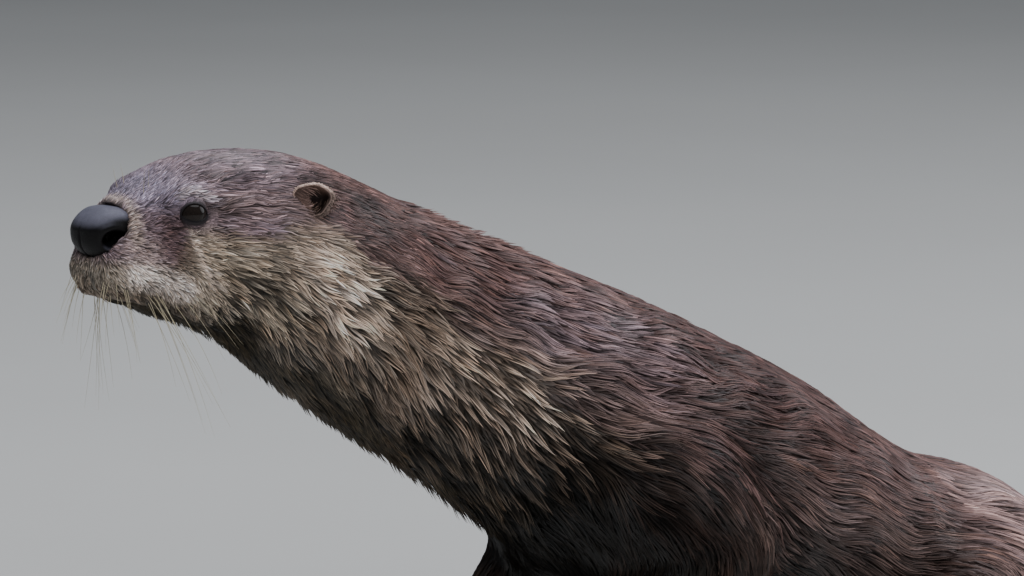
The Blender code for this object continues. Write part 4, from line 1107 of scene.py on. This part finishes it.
add, finish = node_graph("lid skin")
wrinkles = bumped(add, cloud(add, 1500.0, 3.0), 0.5, 0.0003)
lid_finish = finish({"Base Color": own_colour(add), "Normal": wrinkles}, Roughness=0.55, Specular_IOR_Level=0.2)
for side_name, side in SIDES:
    low, high = box_of("eye" + side_name)
    centre, radius = (low + high) / 2.0, (high - low).max() / 2.0
    distance = np.linalg.norm(skin_points - centre, axis=1)
    gaze = unit(skin_normals[(distance > 0.008) & (distance < 0.013)].mean(axis=0))
    rings, back = lid_surface(centre, radius, gaze)
    rows, columns = rings.shape[:2]
    points = rings.reshape(-1, 3)
    lid = new_object("eyelids" + side_name, points, [grid_faces(rows, columns)[:, ::-int(side)]])
    t = np.repeat(np.linspace(0, 1, rows), columns)[:, None]
    still = np.zeros(len(points))
    fur = markings(points, points * 0 + gaze, still, still) * 0.6
    tint = LID_DARK + (LID_BLUE - LID_DARK) * ramp(t, 0.1, 0.24) + (fur - LID_BLUE) * ramp(t, 0.28, 0.52)
    add_colour(lid, tint)
    lid.data.materials.append(lid_finish)
    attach(lid, "root")
    # Hairs of the lid, lying outwards and back.
    rng = np.random.default_rng(301)
    row = rng.uniform(0.28, 0.97, LID_HAIRS) * (rows - 1)
    column = rng.integers(0, columns, LID_HAIRS)
    low = row.astype(int)
    share = (row - low)[:, None]
    root = rings[low, column] * (1 - share) + rings[low + 1, column] * share
    outward = unit(rings[low + 1, column] - rings[low, column])
    normal = unit(cross(outward, unit(rings[low, (column + 1) % columns] - rings[low, column - 1])))
    normal *= np.sign(normal @ gaze)[:, None]
    lie = unit(back + 0.5 * outward + rng.normal(0, 0.15, (LID_HAIRS, 3)))
    lie = unit(lie - normal * (lie * normal).sum(axis=1, keepdims=True))
    size = rng.uniform(0.0016, 0.003, LID_HAIRS)
    still = np.zeros(LID_HAIRS)
    tint = markings(root, root * 0 + gaze, still, still) * np.exp(rng.normal(0, 0.3, (LID_HAIRS, 1)))
    home = 0.02 + 0.95 * np.stack((column / columns, row / rows), axis=1)
    lash = short_hairs("coat_lids" + side_name, root, lie, normal, size, -0.0004 * gaze, 0.0005, tint,
                       (0.35, 1.4), 0.4, home, 3, (0.0, 0.0002, 0.0004))
    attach(lash, "root")

# ---------------------------------------------------------------------------------------------
# Nose pad: bare black leather, boxy above and narrower below, with a comma-shaped nostril each
# side and a shallow groove down the middle. Set into the tip of the muzzle.
PAD_HALF = (0.0125, 0.015, 0.0114)
PAD_SQUARE, PAD_TAPER = 2.7, 0.18
PAD_ROWS, PAD_COLUMNS = 120, 200
# The pad's black, and a blue-grey sheen painted on its upper faces as a highlight.
PAD_BLACK, PAD_SHEEN = np.array([0.004, 0.0038, 0.0042]), np.array([0.095, 0.095, 0.13])
NOSTRIL = np.array([0.0159, 0.0124, 0.2611])
NOSTRIL_HALF = (0.0062, 0.0051)
NOSTRIL_TAIL = (0.0048, 0.0014, 0.0044, 0.0026)  # back, up, and half sizes of the comma's tail
NOSTRIL_DEPTH, NOSTRIL_EDGE = 0.0056, 0.0002
PAD_TOP_BACK = 0.0034  # how far the pad's upper edge leans back
GROOVE_DEPTH, GROOVE_WIDTH = 0.0007, 0.0006


def nose_surface():
    """A superellipsoid about the front-back axis: each direction's length is the inverse root of the summed
    powers of its parts. Below, it narrows and sets back. Nostrils sink along the direction to the middle, with
    a raised edge, and a groove runs down the front."""
    polar = np.linspace(0, np.pi, PAD_ROWS + 2)[1:-1, None]
    turn = np.linspace(0, 2 * np.pi, PAD_COLUMNS, endpoint=False)[None, :]
    ray = np.stack((
        -np.cos(polar) + 0 * turn, np.sin(polar) * np.sin(turn), np.sin(polar) * np.cos(turn)), axis=-1)
    ray = np.concatenate((ray.reshape(-1, 3), [[-1.0, 0, 0], [1.0, 0, 0]]))
    size = (np.abs(ray) ** PAD_SQUARE).sum(axis=1, keepdims=True) ** (-1.0 / PAD_SQUARE)
    low = (1.0 - ray[:, 2:] * size) / 2.0
    ray[:, 1:2] *= 1.0 - PAD_TAPER * low
    ray[:, 0:1] += PAD_TAPER * low * (1.0 - np.abs(ray[:, 0:1]))
    points = ray * size * np.array(PAD_HALF)
    points[:, 0] += PAD_TOP_BACK * ramp(points[:, 2], 0.001, 0.011) * ramp(points[:, 0], 0.004, -0.01)
    depth = np.zeros(len(points))
    for side in (1.0, -1.0):
        facing = unit(np.array([-0.45, side, -0.15]))
        back = unit(np.array([1.0, 0, 0]) - facing * facing[0])
        up = cross(facing, back)
        up = up * np.sign(up[2])
        away = points - (NOSTRIL - NOSE_MIDDLE) * np.array([1.0, side, 1.0])
        run, rise = away @ back, away @ up
        bowl = np.hypot(run / NOSTRIL_HALF[0], rise / NOSTRIL_HALF[1])
        run = run - NOSTRIL_TAIL[0]
        tail_end = np.hypot(run / NOSTRIL_TAIL[2], (rise - NOSTRIL_TAIL[1] + 0.25 * run) / NOSTRIL_TAIL[3])
        comma = np.minimum(bowl, 0.15 + tail_end)
        sunk = NOSTRIL_DEPTH * ramp(comma, 1.05, 0.55) - NOSTRIL_EDGE * bell(comma - 1.25, 0.18)
        depth += ((away @ facing) > -0.006) * sunk
    groove = bell(points[:, 1], GROOVE_WIDTH) * ramp(points[:, 2], 0.004, -0.002) * (points[:, 0] < 0)
    depth += GROOVE_DEPTH * groove
    return LIPS + NOSE_MIDDLE + points - unit(points) * depth[:, None], depth


points, depth = nose_surface()
quads, caps = grid_faces(PAD_ROWS, PAD_COLUMNS), pole_faces(PAD_ROWS, PAD_COLUMNS)
pad = new_object("nose_pad", points, [quads, caps])
# Painted light: the upward faces get the painted sheen; the nostrils are painted near black and the groove a
# little darker, as shade.
pad_up = ramp(point_normals(points, np.concatenate((quads[:, :3], caps)))[:, 2], 0.25, 0.85)[:, None]
pad_tint = PAD_BLACK * (1 - pad_up) + PAD_SHEEN * pad_up
add_colour(pad, pad_tint * (1.0 - 0.97 * ramp(depth, 0.0003, 0.002))[:, None])
add, finish = node_graph("nose leather")
place = add("ShaderNodeTexCoord").outputs["Object"]
pebbles = add("ShaderNodeTexVoronoi", {"Vector": place, "Scale": 1500.0}, feature="DISTANCE_TO_EDGE")
grain = spread(add, pebbles.outputs["Distance"], 0.0, 1.0, 0.0, 0.25)
mottle = cloud(add, 500.0, 3.0)
leather = finish(
    {"Base Color": scaled(add, own_colour(add), spread(add, mottle, 0.7, 1.35)),
     "Normal": bumped(add, grain, 0.35, 0.0002), "Roughness": spread(add, mottle, 0.36, 0.52)},
    Specular_IOR_Level=0.18)
pad.data.materials.append(leather)
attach(pad, "root")
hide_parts("nose")

# ---------------------------------------------------------------------------------------------
# Ears: small rounded flaps of gristle, dished, with a pale thick rim, painted lighter on its upper, rear part
# as a highlight, and a hollow painted near black as shade. They stand on the side of the head, facing out
# and forwards, with short hairs on the rim and the back.
EAR_FACING = (-0.643, 0.766, 0.1)
EAR_HALF = (0.008, 0.0068)
EAR_PROFILE = np.array((  # share of the rim's radius, and how far forward: hollow's middle, rim, back
    (0.0, -0.0042), (0.3, -0.004), (0.6, -0.003), (0.8, -0.0012), (0.92, 0.0002), (0.99, 0.0009),
    (1.05, 0.0008), (1.08, -0.0002), (1.06, -0.0018), (0.98, -0.004), (0.8, -0.0062), (0.45, -0.008),
    (0.0, -0.0086)))
EAR_ROWS, EAR_COLUMNS = 35, 64
# The hollow's near black is painted shade; the inner band is a painted highlight on the upper, rear part.
EAR_SKIN, EAR_HOLLOW = np.array([0.11, 0.08, 0.072]), np.array([0.007, 0.004, 0.004])
EAR_INNER_LIT, EAR_RIM = np.array([0.15, 0.09, 0.07]), np.array([0.5, 0.36, 0.31])
# Hairs on the rim, down the back, in front and across the hollow: how many; where along the profile; middle
# and scatter round the rim; lie and normal as shares of outwards, back, facing and up; colour, the share of it
# left low on the rim and its unevenness; length.
# The rim hairs keep only a share of their colour low on the rim, so they are lighter high up: a painted
# highlight.
EAR_HAIRS = (
    (900, (0.44, 0.56), None, (0.6, 0.8, 0.15, 0.0), (1.0, 0.0, 0.6, 0.0),
     (0.56, 0.41, 0.36), 0.35, 0.3, (0.001, 0.002)),
    (1500, (0.54, 0.92), None, (0.0, 0.9, -0.5, -0.15), (1.0, 0.0, -0.3, 0.0),
     (0.19, 0.128, 0.115), 1.0, 0.3, (0.003, 0.0055)),
    (500, (0.44, 0.7), (0.5, 0.09), (0.0, 0.95, 0.15, -0.1), (0.0, 0.0, 1.0, 0.0),
     (0.12, 0.078, 0.068), 1.0, 0.3, (0.004, 0.008)),
    (90, (0.16, 0.42), (0.66, 0.13), (-0.3, 0.6, 0.0, 0.45), (0.0, 0.0, 1.0, 0.0),
     (0.045, 0.03, 0.024), 1.0, 0.9, (0.0035, 0.007)))


def ear_rings(side_name, side):
    """The flap's rings from the hollow to the back, its middle, and its facing, backward and upward
    directions. The rim's radius is slightly uneven, and it leans forward above and behind."""
    low, high = box_of("ear" + side_name)
    facing = unit(np.array(EAR_FACING) * np.array([1.0, side, 1.0]))
    back = unit(np.array([1.0, 0, 0]) - facing * facing[0])
    up = cross(facing, back)
    up = up * np.sign(up[2])
    middle = (low + high) / 2.0 + facing * 0.0005
    turn = np.linspace(0, 2 * np.pi, EAR_COLUMNS, endpoint=False)[None, :, None]
    t, stations = np.linspace(0, 1, EAR_ROWS + 2), np.linspace(0, 1, len(EAR_PROFILE))
    radius, ahead = (np.interp(t, stations, column)[1:-1, None, None] for column in EAR_PROFILE.T)
    lift = (0.5 * np.cos(turn - np.radians(60.0)) - 0.25) * 0.004 * ramp(radius, 0.3, 1.0)
    uneven = 1.0 + 0.05 * np.sin(3 * turn + 0.5) + 0.03 * np.sin(5 * turn + 1.2)
    flat = (np.cos(turn) * back * EAR_HALF[0] + np.sin(turn) * up * EAR_HALF[1]) * radius * uneven
    return middle + flat + facing * (ahead + lift), middle, facing, back, up


def high_on_rim(turn):
    """1 on the upper, rear part of the rim, where its painted highlight lies, by the angle round it, and 0 low
    in front.
    """
    return ramp(np.sin(turn - 0.3), -0.2, 0.6)


for side_name, side in SIDES:
    ring, middle, facing, back, up = ear_rings(side_name, side)
    poles = [middle + facing * EAR_PROFILE[0, 1], middle + facing * EAR_PROFILE[-1, 1]]
    points = np.concatenate((ring.reshape(-1, 3), poles))
    faces = [grid_faces(EAR_ROWS, EAR_COLUMNS), pole_faces(EAR_ROWS, EAR_COLUMNS)]
    flap = new_object("ear_flap" + side_name, points, [face[:, ::-int(side)] for face in faces])
    share = np.concatenate((np.repeat(np.linspace(0, 1, EAR_ROWS + 2)[1:-1], EAR_COLUMNS), [0.0, 1.0]))
    turn = np.linspace(0, 2 * np.pi, EAR_COLUMNS, endpoint=False)
    high_side = np.concatenate((np.tile(high_on_rim(turn), EAR_ROWS), [0.0, 0.0]))
    # Painted light: the rim and the inner band are lighter on the upper, rear part as a highlight, and the
    # hollow is near black as shade.
    rim = (bell(share - 0.46, 0.07) * (0.25 + 0.75 * high_side))[:, None]
    inner_lit = 0.8 * (bell(share - 0.3, 0.12) * high_side)[:, None]
    hollow = ramp(share, 0.42, 0.24)[:, None]
    shade = EAR_SKIN * (1 - hollow) + EAR_HOLLOW * hollow
    shade = shade * (1 - inner_lit) + EAR_INNER_LIT * inner_lit
    add_colour(flap, shade * (1 - rim) + EAR_RIM * rim)
    flap.data.materials.append(lid_finish)
    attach(flap, "root")
    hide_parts("ear" + side_name)
    rng = np.random.default_rng(311)
    hairs = []
    for count, reach, gathered, lies, normals, tint, low_share, uneven, lengths in EAR_HAIRS:
        row = rng.uniform(*reach, count) * (EAR_ROWS + 1) - 1.0
        round_rim = rng.uniform(0, EAR_COLUMNS, count)
        if gathered:
            round_rim = (EAR_COLUMNS * (gathered[0] + rng.normal(0, gathered[1], count))) % EAR_COLUMNS
        low, column = np.clip(row.astype(int), 0, EAR_ROWS - 2), round_rim.astype(int)
        share = (row - low)[:, None]
        root = ring[low, column] * (1 - share) + ring[low + 1, column] * share
        away = ring[low, column] - middle
        axes = np.empty((count, 4, 3))
        axes[:, 0] = unit(away - facing * (away @ facing)[:, None])
        axes[:, 1:] = back, facing, up
        normal = unit(np.array(normals) @ axes)
        lie = unit(np.array(lies) @ axes + rng.normal(0, 0.22, (count, 3)))
        lie = unit(lie - 0.8 * normal * (lie * normal).sum(axis=1, keepdims=True))
        size = rng.uniform(*lengths, count)
        # Painted highlight: the rim hairs are lighter high on the rim.
        pale = low_share + (1.0 - low_share) * high_on_rim(round_rim / EAR_COLUMNS * 2 * np.pi)
        colour = np.array(tint) * pale[:, None] * np.exp(rng.normal(0, uneven, (count, 1)))
        home = np.stack((column / EAR_COLUMNS, (low + share[:, 0]) / EAR_ROWS), axis=1)
        hairs.append((root, lie, normal, size, colour, 0.02 + 0.95 * home))
    root, lie, normal, size, colour, home = (np.concatenate(part) for part in zip(*hairs))
    bend = np.array([0.0, 0.0, -0.25]) * size[:, None, None]
    fringe = short_hairs("coat_ear" + side_name, root, lie, normal, size, bend, 0.00045, colour,
                         (0.5, 1.3), 0.3, home, 4, (0.0, 0.0002, 0.0003))
    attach(fringe, "root")

# ---------------------------------------------------------------------------------------------
# Whiskers: stiff pale bristles on the lips, hanging wet, and a few over the eyes.
# Tapered round hairs, rooted in the muzzle.
WHISKER_THICK = 0.00034
WHISKER_BUNDLES = (  # root as back, out and up; scatter of roots; heading as back, out and up; length; count
    ((0.0115, 0.0095, 0.2425), 0.0022, (-0.3, 0.25, -0.9), 0.021, 5),
    ((0.018, 0.015, 0.24), 0.0022, (0.1, 0.3, -0.9), 0.025, 6),
    ((0.029, 0.019, 0.237), 0.0022, (0.45, 0.35, -0.85), 0.048, 8),
    ((0.045, 0.026, 0.239), 0.003, (0.8, 0.15, -0.62), 0.04, 4),
    ((0.03, 0.012, 0.29), 0.0012, (-0.05, 0.15, 1.0), 0.015, 2))


def hair_tubes(name, roots, headings, lengths, droop, thickness, seed, sides=5, stations=9, stray=0.06):
    """Tapered tubes along parabolas: each starts along its heading and falls away from it with the square of
    its length; its radius runs down to nothing in a point."""
    rng = np.random.default_rng(seed)
    t = np.linspace(0, 1, stations)[None, :, None]
    fall = np.array([0.0, 0.0, -1.0]) * droop[:, None, None] + rng.normal(0, stray, (len(roots), 1, 3))
    path = roots[:, None, :] + lengths[:, None, None] * (headings[:, None, :] * t + fall * t ** 2)
    ahead = unit(np.gradient(path, axis=1))
    side = unit(cross(ahead, np.array([0.13, 0.97, 0.2]) + 0 * ahead))
    other = cross(ahead, side)
    angle = np.linspace(0, 2 * np.pi, sides, endpoint=False)[None, None, :, None]
    radius = thickness * (1.0 - 0.85 * t[:, :, None]) * 0.5
    around_it = np.cos(angle) * side[:, :, None] + np.sin(angle) * other[:, :, None]
    rings = (path[:, :, None] + around_it * radius).reshape(len(roots), -1, 3)
    points = np.concatenate((rings, path[:, -1:] + ahead[:, -1:] * 0.0004), axis=1)
    quads = grid_faces(stations, sides)[:, ::-1]
    j = np.arange(sides)
    last = (stations - 1) * sides
    tip = np.stack((last + j, last + (j + 1) % sides, j * 0 + stations * sides), axis=1)
    root_cap = np.stack((j[1:-1] * 0, j[2:], j[1:-1]), axis=1)
    shift = (np.arange(len(roots)) * points.shape[1])[:, None, None]
    faces = [(part + shift).reshape(-1, part.shape[1]) for part in (quads, np.concatenate((tip, root_cap)))]
    return new_object(name, points.reshape(-1, 3), faces)


add, finish = node_graph("whisker bristle")
horn = two_tones(add, cloud(add, 160.0, 2.0), (0.16, 0.13, 0.08), (0.55, 0.5, 0.36))
whisker_finish = finish({"Base Color": horn}, Roughness=0.3)
for side_name, side in SIDES:
    rng = np.random.default_rng(201)
    mirror = np.array([1.0, side, 1.0])
    bundles = []
    for place, scatter, heading, length, count in WHISKER_BUNDLES:
        root = LIPS + (np.array(place) + rng.normal(0, scatter, (count, 3))) * mirror
        foot, normal, *_ = surface_at(root, nearest(root, skin_points))
        heading = unit(np.array(heading) * mirror + rng.normal(0, 0.1, (count, 3)) + normal * 0.25)
        droop = np.full(count, 0.28 if place[2] < NOSE_MIDDLE[2] else 0.05)
        bundles.append((foot - normal * 0.001, heading, length * rng.uniform(0.6, 1.15, count), droop))
    whiskers = hair_tubes(
        "whiskers" + side_name, *(np.concatenate(part) for part in zip(*bundles)), WHISKER_THICK, 202)
    whiskers.data.materials.append(whisker_finish)
    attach(whiskers, "root")

# ---------------------------------------------------------------------------------------------
# Claws: short curved horn points on every toe, blunt and dark, with their roots sunk in the fur.
# Tapered round horns that set out along the toe and bend down to the floor.
CLAW_THICK, CLAW_SUNK = 0.0038, 0.0055
CLAW_REST = 0.0004  # how far the tip's middle line stays over the floor
add, finish = node_graph("claw horn")
layers = cloud(add, 500.0, 4.0)
claw_finish = finish(
    {"Base Color": two_tones(add, layers, (0.03, 0.022, 0.018), (0.14, 0.105, 0.08)),
     "Normal": bumped(add, layers, 0.3, 0.0004)}, Roughness=0.35)
for paw, line, names in PAWS:
    low, high = np.array([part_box(name) for name in names]).transpose(1, 0, 2)
    middle = (low + high) / 2.0
    along_toe = unit((middle - line[0]) * np.array([1.0, 1.0, 0.0]))
    length = (high - low)[:, 0] / np.abs(along_toe[:, 0])
    tips = middle + along_toe * (length / 2.0)[:, None]
    length = length + CLAW_SUNK
    roots = tips - along_toe * length[:, None]
    apart = np.linalg.norm(skin_points[None, :, :2] - roots[:, None, :2], axis=2)
    toe_top = np.where((apart < 0.003) & (skin_points[:, 2] < 0.03), skin_points[:, 2], 0.0).max(axis=1)
    roots[:, 2] = np.minimum(high[:, 2] - 0.4 * CLAW_THICK, toe_top - 0.8 * CLAW_THICK)
    drop = (roots[:, 2] - low[:, 2] - CLAW_REST) / length
    claws = hair_tubes(
        "claws_" + paw, roots, along_toe, length, drop, CLAW_THICK, 401, sides=12, stations=14, stray=0.0)
    claws.data.materials.append(claw_finish)
    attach(claws, "root")
    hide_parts(*names)

# ---------------------------------------------------------------------------------------------
# Studio: a plain pale floor, a large soft light from above, a weaker one from the front and a small
# one behind the rump, and a long lens that takes in the head and the forward half of the body.
FLOOR_HALF = 12.0
SENSOR, FIELD_WIDTH, FIELD_DISTANCE = 36.0, 0.4425, 2.6  # the lens takes in such a width at such a distance
CAMERA_AZIMUTH, CAMERA_ELEVATION, CAMERA_DISTANCE = -40.0, 8.0, 2.76
CAMERA_TARGET = (0.25, 0.0, 0.218)  # back, out and up
corners = FLOOR_HALF * np.array([[-1, -1, 0], [1, -1, 0], [1, 1, 0], [-1, 1, 0]])
floor = new_object("floor", corners, [np.array([[0, 1, 2, 3]])], smooth=False)
add, finish = node_graph("studio floor")
tone = spread(add, cloud(add, 2.0, 4.0), 0.44, 0.5)
pale = add("ShaderNodeCombineColor", {"Red": tone, "Green": tone, "Blue": tone}).outputs["Color"]
floor.data.materials.append(finish({"Base Color": pale}, Roughness=0.7))


def hung(name, data, place, back, upright):
    """A light or camera at a place, looking against back, with its upper side towards upright."""
    holder = bpy.data.objects.new(name, data)
    bpy.context.scene.collection.objects.link(holder)
    side = unit(np.cross(upright, back))
    axes = np.stack((side, np.cross(back, side), back), axis=1)
    holder.matrix_world = Matrix([[*row, p] for row, p in zip(axes, place)] + [[0, 0, 0, 1]])
    return holder


for name, place, target, size, power, colour, shine in (
        ("sky_light", (0.2, 0.2, 2.6), (-0.1, 0.0, 0.15), 3.4, 74.0, (0.94, 0.97, 1.0), True),
        ("front_light", (-1.5, -2.9, 2.1), (-0.2, 0.0, 0.18), 3.4, 125.0, (1.0, 0.98, 0.96), False),
        ("rump_light", (2.6, -1.2, 1.5), (0.0, 0.0, 0.15), 2.4, 32.0, (0.92, 0.95, 1.0), True)):
    lamp = bpy.data.lights.new(name, "AREA")
    lamp.shape = "DISK"
    lamp.size, lamp.energy, lamp.color = size, power, colour
    holder = hung(name, lamp, place, unit(np.array(place) - np.array(target)), (0.0, 1.0, 0.01))
    holder.visible_glossy = shine
world = bpy.data.worlds.new("studio air")
bpy.context.scene.world = world
world.use_nodes = True
world.node_tree.nodes["Background"].inputs["Color"].default_value = (0.8, 0.86, 0.92, 1)
world.node_tree.nodes["Background"].inputs["Strength"].default_value = 0.18

lens = bpy.data.cameras.new("camera")
lens.sensor_width = SENSOR
lens.lens = SENSOR * FIELD_DISTANCE / FIELD_WIDTH
azimuth, elevation = np.radians(CAMERA_AZIMUTH), np.radians(CAMERA_ELEVATION)
back = np.array([
    np.sin(azimuth) * np.cos(elevation), -np.cos(azimuth) * np.cos(elevation), np.sin(elevation)])
place = LIPS + np.array(CAMERA_TARGET) + back * CAMERA_DISTANCE
bpy.context.scene.camera = hung("camera", lens, place, back, (0.0, 0.0, 1.0))
